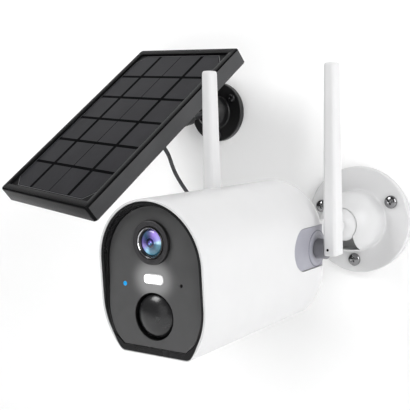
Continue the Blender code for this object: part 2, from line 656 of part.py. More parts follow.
cut(arm, turned("cut_fork", [(0, -12), (2.3, -12), (2.3, 12), (0, 12)], None, at(0, -ARM_LEN, 0, TO_X), segs=20,
                parent=arm_axis, guide=True))
bm = bmesh.new()
lathe(bm, [(0, 11.0), (3.6, 11.0), (4.0, 10.4), (4.0, 7.8), (2.0, 7.8), (2.0, -13.5), (0, -13.5)], 24,
      at(0, -ARM_LEN, 0, TO_X))
make("hinge_bolt", bm, STEEL, parent=arm_axis, pivot=(0, -ARM_LEN, 0))
lobes = []
for k in range(24):
    t = 2 * math.pi * k / 24
    r = 6.4 + 0.9 * math.cos(6 * t)
    lobes.append((r * math.cos(t), r * math.sin(t)))
bm = bmesh.new()
loft(bm, [[(x, y - ARM_LEN, z) for y, z in lobes] for x in (-7.8, -13.0)]
     + [[(x, 2.3 * y / math.hypot(y, z) - ARM_LEN, 2.3 * z / math.hypot(y, z)) for y, z in lobes]
        for x in (-13.0, -7.8)], closed=True)
make("hinge_knob", bm, MOUNT, parent=arm_axis, pivot=(-10.0, -ARM_LEN, 0), angle=25)
turned("panel_ball_stud", stud_profile(PBALL_R, 2.6, 27.4), STEEL, AWAY, segs=18, parent=arm_axis)

# its wall base
pb = at(pball.x, 0, pball.z)
pbase = turned("panel_base", socket_profile(PBASE_R, PBASE_T, PDOME_R, PDOME_T, PMOUTH_R, PLIP_R, PLIP_T,
                                            PBALL_T, PCAVITY_R, PROOT, n=4), MOUNT, pb @ AWAY, segs=28)
for n, deg in enumerate(PSCREW_ANGLES, 1):
    x = pball.x + PSCREW_CIRCLE * math.cos(math.radians(deg))
    z = pball.z + PSCREW_CIRCLE * math.sin(math.radians(deg))
    cut(pbase, turned("cut_pbase_screw_%d" % n, [(0, -2), (1.9, -2), (1.9, 10), (0, 10)], None,
                      at(x, 0, z, AWAY), segs=14, guide=True))
    turned("panel_base_screw_%d" % n, [(0, 0.4), (1.5, 0.4), (1.5, 5.3), (3.2, 5.3), (3.0, 6.2), (1.8, 6.9),
                                       (0, 7.1)], STEEL, at(x, 0, z, AWAY), segs=18)
turned("panel_cup", bowl(PCUP_IN, PCUP_OUT, PBALL_T, 70), NYLON, pb @ AWAY, segs=18,
       pivot=tuple(pball))


# ---------------------------------------------------------------- the lead
def smooth(points, step):
    """Evenly spaced points on a Catmull-Rom curve through the route's own points."""
    p = [Vector(q) for q in points]
    p = [p[0] * 2 - p[1]] + p + [p[-1] * 2 - p[-2]]
    fine = []
    for i in range(1, len(p) - 2):
        a, b, c, d = p[i - 1:i + 3]
        t0 = 0.0
        t1 = t0 + math.sqrt((b - a).length)
        t2 = t1 + math.sqrt((c - b).length)
        t3 = t2 + math.sqrt((d - c).length)
        for k in range(40):
            t = t1 + (t2 - t1) * k / 40
            a1 = a * ((t1 - t) / (t1 - t0)) + b * ((t - t0) / (t1 - t0))
            a2 = b * ((t2 - t) / (t2 - t1)) + c * ((t - t1) / (t2 - t1))
            a3 = c * ((t3 - t) / (t3 - t2)) + d * ((t - t2) / (t3 - t2))
            b1 = a1 * ((t2 - t) / (t2 - t0)) + a2 * ((t - t0) / (t2 - t0))
            b2 = a2 * ((t3 - t) / (t3 - t1)) + a3 * ((t - t1) / (t3 - t1))
            fine.append(b1 * ((t2 - t) / (t2 - t1)) + b2 * ((t - t1) / (t2 - t1)))
    fine.append(p[-2])
    far = [0.0]
    for a, b in zip(fine, fine[1:]):
        far.append(far[-1] + (b - a).length)
    n = max(2, round(far[-1] / step))
    out, j = [], 0
    for k in range(n + 1):
        want = far[-1] * k / n
        while j < len(far) - 2 and far[j + 1] < want:
            j += 1
        f = (want - far[j]) / max(far[j + 1] - far[j], 1e-9)
        out.append(fine[j].lerp(fine[j + 1], min(max(f, 0), 1)))
    return out


def tube(name, points, step=7.0):
    pts = smooth(points, step)
    cu = bpy.data.curves.new(name, "CURVE")
    cu.dimensions = "3D"
    cu.bevel_depth = LEAD_D / 2 * MM
    cu.bevel_resolution = 2
    cu.use_fill_caps = True
    sp = cu.splines.new("POLY")
    sp.points.add(len(pts) - 1)
    for q, v in zip(sp.points, pts):
        q.co = (*(v * MM), 1.0)
    ob = bpy.data.objects.new(name, cu)
    COLL.objects.link(ob)
    cu.materials.append(LEAD)
    return ob


cx, cy, cz = COIL_C
out_r = COIL_MID_R + LEAD_D * COIL_LAYERS / 2 + 0.2
in_r = COIL_MID_R - LEAD_D * COIL_LAYERS / 2 - 0.2
half_t = LEAD_D * COIL_ROWS / 2 + 0.2
sec = []
for x, y in round_rect(out_r - in_r, 2 * half_t, 2.4, 2):
    sec.append(((out_r + in_r) / 2 + x, y))
turned("lead_coil", sec, LEAD, at(cx, cy, cz, TO_Y), segs=24, closed=True)

gland_out = panel_mtx @ Vector((GLAND[0], GLAND[1], -34.8))
off = panel_mtx.to_3x3() @ Vector((0, 0, -1))
UPPER = [gland_out, gland_out + off * 5, (-124.3, -62.5, 36.7), (-125.0, -49.0, 22.6), (-123.5, -33.0, 6.0),
         (-120.2, -22.5, -10.0), (cx - COIL_MID_R - 6.0 + 0.05 - 1.6, cy - 7.5, -26.0),
         (cx - out_r - LEAD_D / 2 - 0.35, cy - 7.5, cz)]
tube("lead_upper", UPPER)
PLUG_TAIL = (0.0, -78.6, PORT_Z)
LOWER = [(cx + 2.0, cy - 7.5, cz - out_r - LEAD_D / 2 - 0.35), (cx + 22.0, cy - 9.0, cz - out_r - 2.6), (-53.0, -24.0, -63.0),
         (-33.0, -38.0, -53.0), (-19.0, -51.0, -38.5), (-9.0, -62.5, -25.0), (-2.6, -70.5, PORT_Z - 1.0), (-0.3, -75.0, PORT_Z - 0.1), PLUG_TAIL]
tube("lead_lower", LOWER)

# plug: moulded body, tongue in the socket, tapered strain relief
bm = bmesh.new()


def oblong(w, h, r, y):
    return [(x, y, z + PORT_Z) for x, z in round_rect(w, h, r, 3)]


loft(bm, [oblong(8.2, 2.6, 1.2, -129.6), oblong(8.2, 2.6, 1.2, -119.3), oblong(11.0, 6.0, 2.0, -119.3),
          oblong(12.0, 7.0, 2.4, -118.5), oblong(12.0, 7.0, 2.4, -105.0), oblong(8.0, 6.4, 2.4, -101.5),
          oblong(6.0, 6.0, 2.6, -99.5), oblong(4.8, 4.8, 2.1, -89.0), oblong(4.0, 4.0, 1.8, -79.0)])
make("lead_plug", bm, LEAD)

# tie round the coil's side, and the wall hook the coil hangs on
bm = bmesh.new()
mid = cx + COIL_MID_R
hh, ww = LEAD_D * COIL_LAYERS / 2 + 0.75, half_t + 0.35
rim_o = round_rect(2 * (hh + 1.1), 2 * (ww + 1.1), 2.6, 3)
rim_i = round_rect(2 * hh, 2 * ww, 1.9, 3)
loft(bm, [[(mid + x, cy + y, cz + z) for x, y in rim_o] for z in (-2.0, 2.0)]
     + [[(mid + x, cy + y, cz + z) for x, y in rim_i] for z in (2.0, -2.0)], closed=True)
make("coil_tie", bm, BLACK)
bm = bmesh.new()
hz = cz + in_r - 0.85
hook = [(0.0, hz - 13.0), (0.0, hz + 8.0), (-1.2, hz + 8.0), (-1.2, hz), (-21.6, hz), (-23.0, hz + 3.0),
        (-24.6, hz + 3.0), (-24.6, hz - 2.6), (-2.2, hz - 2.6), (-2.2, hz - 13.0)]
loft(bm, [[(cx + x, y, z) for y, z in hook] for x in (-3.0, 3.0)])
make("lead_hook", bm, WHITE, angle=20)
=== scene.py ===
"""Looks of the solar-powered security camera: finely modelled pieces on the CAD frame, their
materials, the flexible lead, soft studio light and the camera. Millimetres are used while a
mesh is made and turned into metres at the end."""
import math
import bpy
import bmesh
from mathutils import Matrix, Vector, Euler


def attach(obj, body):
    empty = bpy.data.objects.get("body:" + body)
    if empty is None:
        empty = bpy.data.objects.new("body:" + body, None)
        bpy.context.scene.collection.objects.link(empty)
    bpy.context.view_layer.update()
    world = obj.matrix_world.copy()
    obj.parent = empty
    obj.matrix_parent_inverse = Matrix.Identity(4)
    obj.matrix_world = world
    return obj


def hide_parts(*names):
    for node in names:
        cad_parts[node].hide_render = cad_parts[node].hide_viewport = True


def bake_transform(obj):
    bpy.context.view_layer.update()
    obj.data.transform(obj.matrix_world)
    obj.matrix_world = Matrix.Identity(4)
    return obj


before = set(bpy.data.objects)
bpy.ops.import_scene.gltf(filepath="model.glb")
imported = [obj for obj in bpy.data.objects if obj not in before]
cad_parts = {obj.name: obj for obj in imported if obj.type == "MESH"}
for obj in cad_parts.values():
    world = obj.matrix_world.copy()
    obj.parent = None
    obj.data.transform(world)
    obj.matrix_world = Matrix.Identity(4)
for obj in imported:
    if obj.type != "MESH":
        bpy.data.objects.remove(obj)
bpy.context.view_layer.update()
MM = 0.001

# ------------------------------------------------------------------ dimensions of the CAD (mm)
HALF_W, ARCH_Z, CHIN_Z, CHIN_R, CHIN_X = 32.0, 6.73, -12.5, 37.37, 5.37
BOTTOM_Z, CHIN_FILLET = -39.3, 4.5
RIM_Y, RIM_LEAN = -251.53, -0.0472
FACE_Y, FACE_LEAN = -248.73, 0.0223
REAR_Y, REAR_R, WALL_T = -119.7, 12.0, 2.2
LENS_Z, PIR_Z, LIGHT_Z = 16.98, -19.67, -1.2
STATUS_X, STATUS_Z, MIC_X, MIC_Z = -18.0, -4.8, 16.8, -2.9
HUB_Y, HUB_Z = -134.4, -0.3
ANTENNA_X, ANTENNA_TOP, ANTENNA_FOOT = 41.6, 106.0, -3.6
PORT_Z = -19.2
LEAD_D = 3.0
COIL_C, COIL_MID_R = (-96.0, -11.0, -40.0), 17.25

# ------------------------------------------------------------------ small tools
TO_Y = Matrix.Rotation(math.radians(-90), 4, "X")      # local z becomes +Y
TO_X = Matrix.Rotation(math.radians(90), 4, "Y")       # local z becomes +X
AWAY = Matrix.Rotation(math.radians(90), 4, "X")       # local z becomes -Y
COLL = bpy.context.scene.collection


def at(x, y, z, turn=None):
    m = Matrix.Translation((x, y, z))
    return m @ turn if turn else m


def lathe(bm, profile, segs, mtx, closed=False, mats=None):
    """Turn (radius, height) points about local z. mats gives a material number per band."""
    rings = []
    for r, t in profile:
        if r < 1e-6:
            rings.append([bm.verts.new(mtx @ Vector((0, 0, t)))])
        else:
            rings.append([bm.verts.new(mtx @ Vector((r * math.cos(2 * math.pi * i / segs),
                                                     r * math.sin(2 * math.pi * i / segs), t)))
                          for i in range(segs)])
    pairs = list(zip(rings, rings[1:]))
    if closed:
        pairs.append((rings[-1], rings[0]))
    for k, (a, b) in enumerate(pairs):
        if len(a) == 1 and len(b) == 1:
            continue
        for i in range(segs):
            j = (i + 1) % segs
            if len(a) == 1:
                f = bm.faces.new((a[0], b[i], b[j]))
            elif len(b) == 1:
                f = bm.faces.new((a[i], a[j], b[0]))
            else:
                f = bm.faces.new((a[i], a[j], b[j], b[i]))
            if mats:
                f.material_index = mats[k]


def loft(bm, rings, closed=False, caps=True):
    rows = [[bm.verts.new(Vector(p)) for p in ring] for ring in rings]
    n = len(rows[0])
    pairs = list(zip(rows, rows[1:]))
    if closed:
        pairs.append((rows[-1], rows[0]))
    for a, b in pairs:
        for i in range(n):
            j = (i + 1) % n
            bm.faces.new((a[i], a[j], b[j], b[i]))
    if not closed and caps:
        bm.faces.new(rows[0])
        bm.faces.new(rows[-1])


def box(bm, lo, hi, mtx=None):
    mtx = mtx or Matrix.Identity(4)
    loft(bm, [[mtx @ Vector(p) for p in ((lo[0], lo[1], z), (hi[0], lo[1], z),
                                         (hi[0], hi[1], z), (lo[0], hi[1], z))]
              for z in (lo[2], hi[2])])


def round_rect(w, h, r, n=8):
    pts = []
    for k, (sx, sy) in enumerate(((1, -1), (1, 1), (-1, 1), (-1, -1))):
        for i in range(n + 1):
            t = math.radians(-90 + 90 * k + 90 * i / n)
            pts.append((sx * (w / 2 - r) + r * math.cos(t), sy * (h / 2 - r) + r * math.sin(t)))
    return pts


def arc(cr, ct, r, a0, a1, n):
    """Points (radius, height) on an arc, angles in degrees."""
    return [(cr + r * math.cos(math.radians(a0 + (a1 - a0) * k / n)),
             ct + r * math.sin(math.radians(a0 + (a1 - a0) * k / n))) for k in range(n + 1)]


def rounded(profile, radius, n=4):
    """Round the inner corners of an open (radius, height) profile; radius is one number or one per corner."""
    out = [profile[0]]
    for i in range(1, len(profile) - 1):
        r = radius[i - 1] if isinstance(radius, (list, tuple)) else radius
        a, b, c = (Vector(profile[k]) for k in (i - 1, i, i + 1))
        u, v = (a - b), (c - b)
        if r <= 0 or u.length < 1e-6 or v.length < 1e-6:
            out.append(tuple(b))
            continue
        ang = u.angle(v)
        if ang > math.radians(170):
            out.append(tuple(b))
            continue
        d = min(r / math.tan(ang / 2), u.length * 0.45, v.length * 0.45)
        p, q = b + u.normalized() * d, b + v.normalized() * d
        for k in range(n + 1):
            t = k / n
            out.append(tuple(p * (1 - t) ** 2 + b * 2 * t * (1 - t) + q * t ** 2))
    out.append(profile[-1])
    return out


def mesh_object(name, bm, mats):
    bmesh.ops.remove_doubles(bm, verts=bm.verts, dist=2e-5)
    bmesh.ops.recalc_face_normals(bm, faces=bm.faces)
    for v in bm.verts:
        v.co *= MM
    me = bpy.data.meshes.new(name)
    bm.to_mesh(me)
    bm.free()
    ob = bpy.data.objects.new(name, me)
    COLL.objects.link(ob)
    for m in mats if isinstance(mats, (list, tuple)) else [mats]:
        if m:
            me.materials.append(m)
    return ob


def shade(ob, angle=35.0, weighted=False):
    ob.data.shade_smooth()
    ob.data.set_sharp_from_angle(angle=math.radians(angle))
    if weighted:
        m = ob.modifiers.new("Normals", "WEIGHTED_NORMAL")
        m.keep_sharp = True
        m.weight = 60
        bake(ob)


def bake(ob):
    """Apply the modifiers."""
    dg = bpy.context.evaluated_depsgraph_get()
    dg.update()
    me = bpy.data.meshes.new_from_object(ob.evaluated_get(dg))
    ob.modifiers.clear()
    ob.data = me


def carve(ob, cutters, how="DIFFERENCE"):
    for c in cutters:
        m = ob.modifiers.new(c.name, "BOOLEAN")
        m.operation = how
        m.solver = "EXACT"
        m.object = c
    bake(ob)
    for c in cutters:
        bpy.data.objects.remove(c, do_unlink=True)
    return ob


def soften(ob, width, segs=2, angle=35.0):
    m = ob.modifiers.new("Bevel", "BEVEL")
    m.width = width * MM
    m.segments = segs
    m.limit_method = "ANGLE"
    m.angle_limit = math.radians(angle)
    m.harden_normals = False
    bake(ob)
    return ob


def put(ob, body, nodes=()):
    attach(ob, body)
    if nodes:
        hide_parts(*([nodes] if isinstance(nodes, str) else nodes))
    return ob


def turned(name, profile, mats, mtx, segs=96, closed=False, bands=None, angle=35.0):
    bm = bmesh.new()
    lathe(bm, profile, segs, mtx, closed, bands)
    ob = mesh_object(name, bm, mats)
    shade(ob, angle)
    return ob


def tool(name, profile, mtx, segs=48):
    bm = bmesh.new()
    lathe(bm, profile, segs, mtx)
    return mesh_object(name, bm, None)


def join(objs, name):
    """One object from several meshes."""
    bm = bmesh.new()
    mats = []
    for o in objs:
        base = []
        for m in o.data.materials:
            if m not in mats:
                mats.append(m)
            base.append(mats.index(m))
        start = len(bm.faces)
        bm.from_mesh(o.data)
        bm.faces.ensure_lookup_table()
        for f in bm.faces[start:]:
            f.material_index = base[f.material_index] if base else 0
    me = bpy.data.meshes.new(name)
    bm.to_mesh(me)
    bm.free()
    for m in mats:
        me.materials.append(m)
    for o in objs:
        bpy.data.objects.remove(o, do_unlink=True)
    ob = bpy.data.objects.new(name, me)
    COLL.objects.link(ob)
    return ob


# ------------------------------------------------------------------ materials
def principled(name, rgb, rough, metal=0.0, coat=0.0, spec=0.5, sheen=0.0):
    m = bpy.data.materials.new(name)
    m.use_nodes = True
    b = m.node_tree.nodes["Principled BSDF"]
    b.inputs["Base Color"].default_value = (*rgb, 1.0)
    b.inputs["Roughness"].default_value = rough
    b.inputs["Metallic"].default_value = metal
    b.inputs["Coat Weight"].default_value = coat
    b.inputs["Coat Roughness"].default_value = 0.12
    b.inputs["Specular IOR Level"].default_value = spec
    b.inputs["Sheen Weight"].default_value = sheen
    m.diffuse_color = (*rgb, 1.0)
    return m, m.node_tree, b


def link(nt, a, b):
    nt.links.new(a, b)


def coords(nt, scale=1.0):
    """Position on the piece in metres times scale."""
    tc = nt.nodes.new("ShaderNodeTexCoord")
    mp = nt.nodes.new("ShaderNodeMapping")
    mp.inputs["Scale"].default_value = (scale, scale, scale) if not isinstance(scale, tuple) else scale
    link(nt, tc.outputs["Object"], mp.inputs["Vector"])
    return mp.outputs["Vector"]


def noise(nt, vec, scale, detail=3.0, rough=0.5):
    n = nt.nodes.new("ShaderNodeTexNoise")
    n.inputs["Scale"].default_value = scale
    n.inputs["Detail"].default_value = detail
    n.inputs["Roughness"].default_value = rough
    link(nt, vec, n.inputs["Vector"])
    return n.outputs["Fac"]


def ramp(nt, fac, stops):
    r = nt.nodes.new("ShaderNodeValToRGB")
    el = r.color_ramp.elements
    while len(el) < len(stops):
        el.new(0.5)
    for e, (p, c) in zip(el, stops):
        e.position = p
        e.color = (*c, 1.0) if len(c) == 3 else c
    link(nt, fac, r.inputs["Fac"])
    return r.outputs["Color"]


def grain(nt, b, vec, scale, strength, dist=0.00003, detail=3.0):
    bump = nt.nodes.new("ShaderNodeBump")
    bump.inputs["Strength"].default_value = strength
    bump.inputs["Distance"].default_value = dist
    link(nt, noise(nt, vec, scale, detail), bump.inputs["Height"])
    link(nt, bump.outputs["Normal"], b.inputs["Normal"])
    return bump


def plastic(name, rgb, rough, coat=0.0, grain_scale=2600.0, grain_strength=0.12, vary=0.05, spec=0.5,
            tone=0.03):
    """Moulded plastic: fine skin, a little unevenness in gloss and tone."""
    m, nt, b = principled(name, rgb, rough, 0.0, coat, spec)
    vec = coords(nt)
    grain(nt, b, vec, grain_scale, grain_strength)
    cloud = noise(nt, vec, 55.0, 4.0)
    r = nt.nodes.new("ShaderNodeMapRange")
    r.inputs["From Min"].default_value, r.inputs["From Max"].default_value = 0.3, 0.7
    r.inputs["To Min"].default_value, r.inputs["To Max"].default_value = rough - vary, rough + vary
    link(nt, cloud, r.inputs["Value"])
    link(nt, r.outputs["Result"], b.inputs["Roughness"])
    lo = tuple(max(0.0, c * (1 - tone)) for c in rgb)
    hi = tuple(min(1.0, c * (1 + tone)) for c in rgb)
    link(nt, ramp(nt, noise(nt, vec, 90.0, 5.0), [(0.35, lo), (0.65, hi)]), b.inputs["Base Color"])
    return m


def metal(name, rgb, rough, brushed=None, vary=0.06):
    m, nt, b = principled(name, rgb, rough, 1.0)
    vec = coords(nt, brushed if brushed else 1.0)
    r = nt.nodes.new("ShaderNodeMapRange")
    r.inputs["From Min"].default_value, r.inputs["From Max"].default_value = 0.3, 0.7
    r.inputs["To Min"].default_value, r.inputs["To Max"].default_value = max(0.02, rough - vary), rough + vary
    link(nt, noise(nt, vec, 900.0, 5.0, 0.6), r.inputs["Value"])
    link(nt, r.outputs["Result"], b.inputs["Roughness"])
    grain(nt, b, vec, 1800.0, 0.08, 0.00001)
    return m


WHITE = plastic("White satin plastic", (0.62, 0.62, 0.625), 0.36, coat=0.12, grain_scale=3200, grain_strength=0.05,
                tone=0.006)
WHITE_ARM = plastic("White arm plastic", (0.62, 0.62, 0.625), 0.40, coat=0.05, grain_strength=0.06, tone=0.008)
ANT = plastic("White antenna plastic", (0.65, 0.65, 0.655), 0.42, coat=0.05, grain_strength=0.06, tone=0.006)
HOOD = plastic("Black hood plastic", (0.005, 0.005, 0.0055), 0.30, coat=0.04, grain_strength=0.05, spec=0.22)
BEZEL = plastic("Lens bezel plastic", (0.026, 0.025, 0.027), 0.42, grain_strength=0.15)
# near-black for the well, the lens mouth and the chrome ring's outer part; on the bezel's outward side it is painted
# shade
BLACK_PARTS_AND_BEZEL_SHADE = plastic("Black parts and painted bezel side shade", (0.006, 0.006, 0.006), 0.30, grain_strength=0.05)
# painted shade: near-black plugs set inside the antenna pin holes
PIN_HOLE_SHADE = plastic("Painted pin hole shade", (0.002, 0.002, 0.002), 0.9, spec=0.1, grain_strength=0.0)
BASEM = plastic("White base plastic", (0.63, 0.63, 0.635), 0.40, coat=0.05, grain_strength=0.06, tone=0.008)
BLACKP = plastic("Black plastic", (0.014, 0.014, 0.015), 0.40)
MOUNTP = plastic("Black nylon mount", (0.006, 0.006, 0.0065), 0.36, grain_scale=1500, grain_strength=0.22)
LAV = plastic("Lavender grey plastic", (0.30, 0.30, 0.342), 0.42, grain_strength=0.1)
GROOVE = plastic("Groove shadow", (0.16, 0.16, 0.19), 0.6, grain_strength=0.05)
HUBG = plastic("Grey hub plastic", (0.17, 0.17, 0.187), 0.42, grain_strength=0.1)
NYL = plastic("Nylon liner", (0.70, 0.69, 0.65), 0.5)
RUB = plastic("Pale soft rubber", (0.66, 0.66, 0.67), 0.62, grain_scale=1800, grain_strength=0.25)
CHROME = metal("Chrome trim", (0.50, 0.50, 0.52), 0.10, vary=0.03)
STEEL = metal("Plated steel", (0.60, 0.60, 0.61), 0.26)
SCREW = metal("Screw steel", (0.24, 0.24, 0.245), 0.12, vary=0.04)
BLKSTEEL = metal("Black steel", (0.05, 0.05, 0.052), 0.34)
BRASS = metal("Brass", (0.75, 0.55, 0.25), 0.28)


def jacket():
    """Rubbery lead jacket: fine skin with faint scuffs."""
    m, nt, b = principled("Lead jacket", (0.022, 0.022, 0.024), 0.48)
    vec = coords(nt)
    grain(nt, b, vec, 2200.0, 0.25, 0.00004)
    link(nt, ramp(nt, noise(nt, vec, 160.0, 6.0), [(0.35, (0.016, 0.016, 0.018)), (0.7, (0.034, 0.034, 0.037))]),
         b.inputs["Base Color"])
    return m


JACKET = jacket()
RELIEF = plastic("Strain relief rubber", (0.018, 0.018, 0.019), 0.5, grain_strength=0.2)


def distance_to(nt, x, z, sx=1.0, sz=1.0):
    """Distance in metres, in the XZ plane, from a point of the piece given in mm."""
    tc = nt.nodes.new("ShaderNodeTexCoord")
    mp = nt.nodes.new("ShaderNodeMapping")
    mp.inputs["Location"].default_value = (-x * MM * sx, 0.0, -z * MM * sz)
    mp.inputs["Scale"].default_value = (sx, 0.0, sz)
    link(nt, tc.outputs["Object"], mp.inputs["Vector"])
    ln = nt.nodes.new("ShaderNodeVectorMath")
    ln.operation = "LENGTH"
    link(nt, mp.outputs["Vector"], ln.inputs[0])
    return ln.outputs["Value"]


def fascia_material():
    m, nt, b = principled("Fascia dark grey with painted glow", (0.072, 0.072, 0.073), 0.42, spec=0.32)
    vec = coords(nt)
    grain(nt, b, vec, 2400.0, 0.10)
    link(nt, ramp(nt, noise(nt, vec, 120.0, 5.0), [(0.3, (0.068, 0.068, 0.069)), (0.7, (0.076, 0.076, 0.077))]),
         b.inputs["Base Color"])
    # painted glow: emission painted on the plate round the spot light, standing in for the light it spreads
    d = distance_to(nt, 0.0, LIGHT_Z, 0.85, 1.0)
    g = nt.nodes.new("ShaderNodeMapRange")
    g.interpolation_type = "SMOOTHERSTEP"
    g.inputs["From Min"].default_value, g.inputs["From Max"].default_value = 0.0040, 0.0185
    g.inputs["To Min"].default_value, g.inputs["To Max"].default_value = 1.0, 0.0
    link(nt, d, g.inputs["Value"])
    p = nt.nodes.new("ShaderNodeMath")
    p.operation = "POWER"
    p.inputs[1].default_value = 3.2
    link(nt, g.outputs["Result"], p.inputs[0])
    s = nt.nodes.new("ShaderNodeMath")
    s.operation = "MULTIPLY"
    s.inputs[1].default_value = 0.20
    link(nt, p.outputs[0], s.inputs[0])
    b.inputs["Emission Color"].default_value = (1, 1, 1, 1)
    link(nt, s.outputs[0], b.inputs["Emission Strength"])
    return m


FASCIA_PAINTED_GLOW = fascia_material()


def glow(name, rgb, strength, rough=0.2):
    m, nt, b = principled(name, rgb, rough)
    b.inputs["Emission Color"].default_value = (*rgb, 1.0)
    b.inputs["Emission Strength"].default_value = strength
    vec = coords(nt)
    link(nt, ramp(nt, noise(nt, vec, 700.0, 2.0), [(0.3, tuple(c * 0.97 for c in rgb)), (0.7, rgb)]),
         b.inputs["Base Color"])
    return m


EMITTER = glow("Lit emitter", (1.0, 1.0, 1.0), 6.0)
WINDOW = glow("Lit window", (0.80, 0.80, 0.80), 0.22)
STATUSM = glow("Blue status light", (0.005, 0.27, 0.62), 0.34)


def lens_material():
    """Coated glass: violet, blue and teal sectors round the middle with pale and dark rings over them; these are
    painted reflections and highlights, also set to glow.
    """
    m, nt, b = principled("Coated lens with painted reflections", (0.05, 0.05, 0.12), 0.04, coat=1.0)
    b.inputs["Coat Roughness"].default_value = 0.02
    tc = nt.nodes.new("ShaderNodeTexCoord")
    mp = nt.nodes.new("ShaderNodeMapping")
    mp.inputs["Location"].default_value = (0, 0, -LENS_Z * MM)
    link(nt, tc.outputs["Object"], mp.inputs["Vector"])
    sp = nt.nodes.new("ShaderNodeSeparateXYZ")
    link(nt, mp.outputs["Vector"], sp.inputs[0])
    an = nt.nodes.new("ShaderNodeMath")
    an.operation = "ARCTAN2"
    link(nt, sp.outputs["Z"], an.inputs[0])
    link(nt, sp.outputs["X"], an.inputs[1])
    r = nt.nodes.new("ShaderNodeMapRange")
    r.inputs["From Min"].default_value, r.inputs["From Max"].default_value = -math.pi, math.pi
    link(nt, an.outputs[0], r.inputs["Value"])
    # angle from -X (0) through -Z (0.25), +X (0.5), +Z (0.75) back to -X (1)
    # painted reflections: coloured sectors round the lens, with a cyan-white painted highlight towards +X
    ring = ramp(nt, r.outputs["Result"], [
        (0.0, (0.10, 0.07, 0.26)), (0.08, (0.28, 0.22, 0.62)), (0.17, (0.30, 0.62, 0.80)),
        (0.24, (0.05, 0.18, 0.26)), (0.37, (0.02, 0.10, 0.15)), (0.47, (0.05, 0.20, 0.28)),
        (0.51, (0.55, 0.85, 0.95)), (0.56, (0.35, 0.33, 0.75)), (0.68, (0.38, 0.26, 0.72)),
        (0.77, (0.10, 0.10, 0.24)), (0.86, (0.02, 0.07, 0.12)), (1.0, (0.10, 0.07, 0.26))])
    d = distance_to(nt, 0.0, LENS_Z)
    band = ramp(nt, d, [(0.0, (1, 1, 1)), (1.0, (1, 1, 1))])
    scale = nt.nodes.new("ShaderNodeMapRange")
    scale.inputs["From Min"].default_value, scale.inputs["From Max"].default_value = 0.0, 0.0068
    link(nt, d, scale.inputs["Value"])
    # painted highlights: pale rings and a pale centre, with dark rings between, multiplied over the sectors
    painted_highlight_rings = ramp(nt, scale.outputs["Result"], [
        (0.0, (0.9, 0.9, 1.0)), (0.13, (0.55, 0.5, 0.8)), (0.20, (0.03, 0.02, 0.08)), (0.34, (0.05, 0.04, 0.12)),
        (0.38, (0.5, 0.5, 0.65)), (0.42, (0.35, 0.35, 0.42)), (0.62, (0.75, 0.75, 0.8)), (0.86, (1, 1, 1)),
        (0.93, (0.9, 0.9, 1.0)), (0.97, (0.02, 0.02, 0.03))])
    mix = nt.nodes.new("ShaderNodeMix")
    mix.data_type = "RGBA"
    mix.blend_type = "MULTIPLY"
    mix.inputs["Factor"].default_value = 1.0
    link(nt, ring, mix.inputs["A"])
    link(nt, painted_highlight_rings, mix.inputs["B"])
    link(nt, mix.outputs["Result"], b.inputs["Base Color"])
    # the painted reflections are also set to glow, though the lens is no lamp
    link(nt, mix.outputs["Result"], b.inputs["Emission Color"])
    b.inputs["Emission Strength"].default_value = 0.50
    return m


LENS = lens_material()


def pir_material():
    m, nt, b = principled("Smoked dome", (0.014, 0.014, 0.015), 0.24, coat=0.08)
    vec = coords(nt)
    grain(nt, b, vec, 1500.0, 0.03)
    link(nt, ramp(nt, noise(nt, vec, 200.0, 4.0), [(0.3, (0.012, 0.012, 0.013)), (0.7, (0.017, 0.017, 0.018))]),
         b.inputs["Base Color"])
    return m


PIRM = pir_material()


def frame_material():
    m, nt, b = principled("Panel frame", (0.004, 0.004, 0.0045), 0.24, spec=0.05)
    vec = coords(nt)
    grain(nt, b, vec, 1700.0, 0.16, 0.00003)
    link(nt, ramp(nt, noise(nt, vec, 60.0, 5.0), [(0.3, (0.003, 0.003, 0.0034)), (0.7, (0.005, 0.005, 0.0054))]),
         b.inputs["Base Color"])
    return m


FRAMEM = frame_material()
# paler grey for the frame's long sides: painted light
PAINTED_LIGHT_RAIL = plastic("Panel side rail, painted light", (0.054, 0.054, 0.056), 0.42, grain_scale=1900, grain_strength=0.18, spec=0.3)


def cell_material():
    """Silicon under film: faint fine fingers, slight tone drift from cell to cell."""
    m, nt, b = principled("Silicon cells", (0.013, 0.013, 0.016), 0.38, coat=0.02, spec=0.06)
    b.inputs["Coat Roughness"].default_value = 0.10
    at_uv = nt.nodes.new("ShaderNodeUVMap")
    at_uv.uv_map = "Panel"
    w = nt.nodes.new("ShaderNodeTexWave")
    w.wave_type = "BANDS"
    w.bands_direction = "Y"
    w.inputs["Scale"].default_value = 330.0
    w.inputs["Distortion"].default_value = 0.4
    w.inputs["Detail"].default_value = 1.0
    link(nt, at_uv.outputs["UV"], w.inputs["Vector"])
    lines = ramp(nt, w.outputs["Fac"], [(0.0, (0.009, 0.009, 0.011)), (0.6, (0.015, 0.015, 0.018)),
                                       (0.9, (0.024, 0.024, 0.028))])
    blot = nt.nodes.new("ShaderNodeTexNoise")
    blot.inputs["Scale"].default_value = 34.0
    blot.inputs["Detail"].default_value = 5.0
    link(nt, at_uv.outputs["UV"], blot.inputs["Vector"])
    tone = ramp(nt, blot.outputs["Fac"], [(0.3, (0.72, 0.72, 0.74)), (0.7, (1.15, 1.13, 1.14))])
    mix = nt.nodes.new("ShaderNodeMix")
    mix.data_type = "RGBA"
    mix.blend_type = "MULTIPLY"
    mix.inputs["Factor"].default_value = 1.0
    link(nt, lines, mix.inputs["A"])
    link(nt, tone, mix.inputs["B"])
    link(nt, mix.outputs["Result"], b.inputs["Base Color"])
    return m


CELLM = cell_material()
GRIDM = plastic("Dark gap between cells", (0.0015, 0.0015, 0.002), 0.6, coat=0.0, grain_strength=0.02, spec=0.01)
FILM = plastic("Film border", (0.005, 0.005, 0.0055), 0.40, coat=0.0, grain_strength=0.02, spec=0.04)
LINE = plastic("Light border line", (0.085, 0.085, 0.09), 0.35, coat=0.05, grain_strength=0.02, spec=0.25)


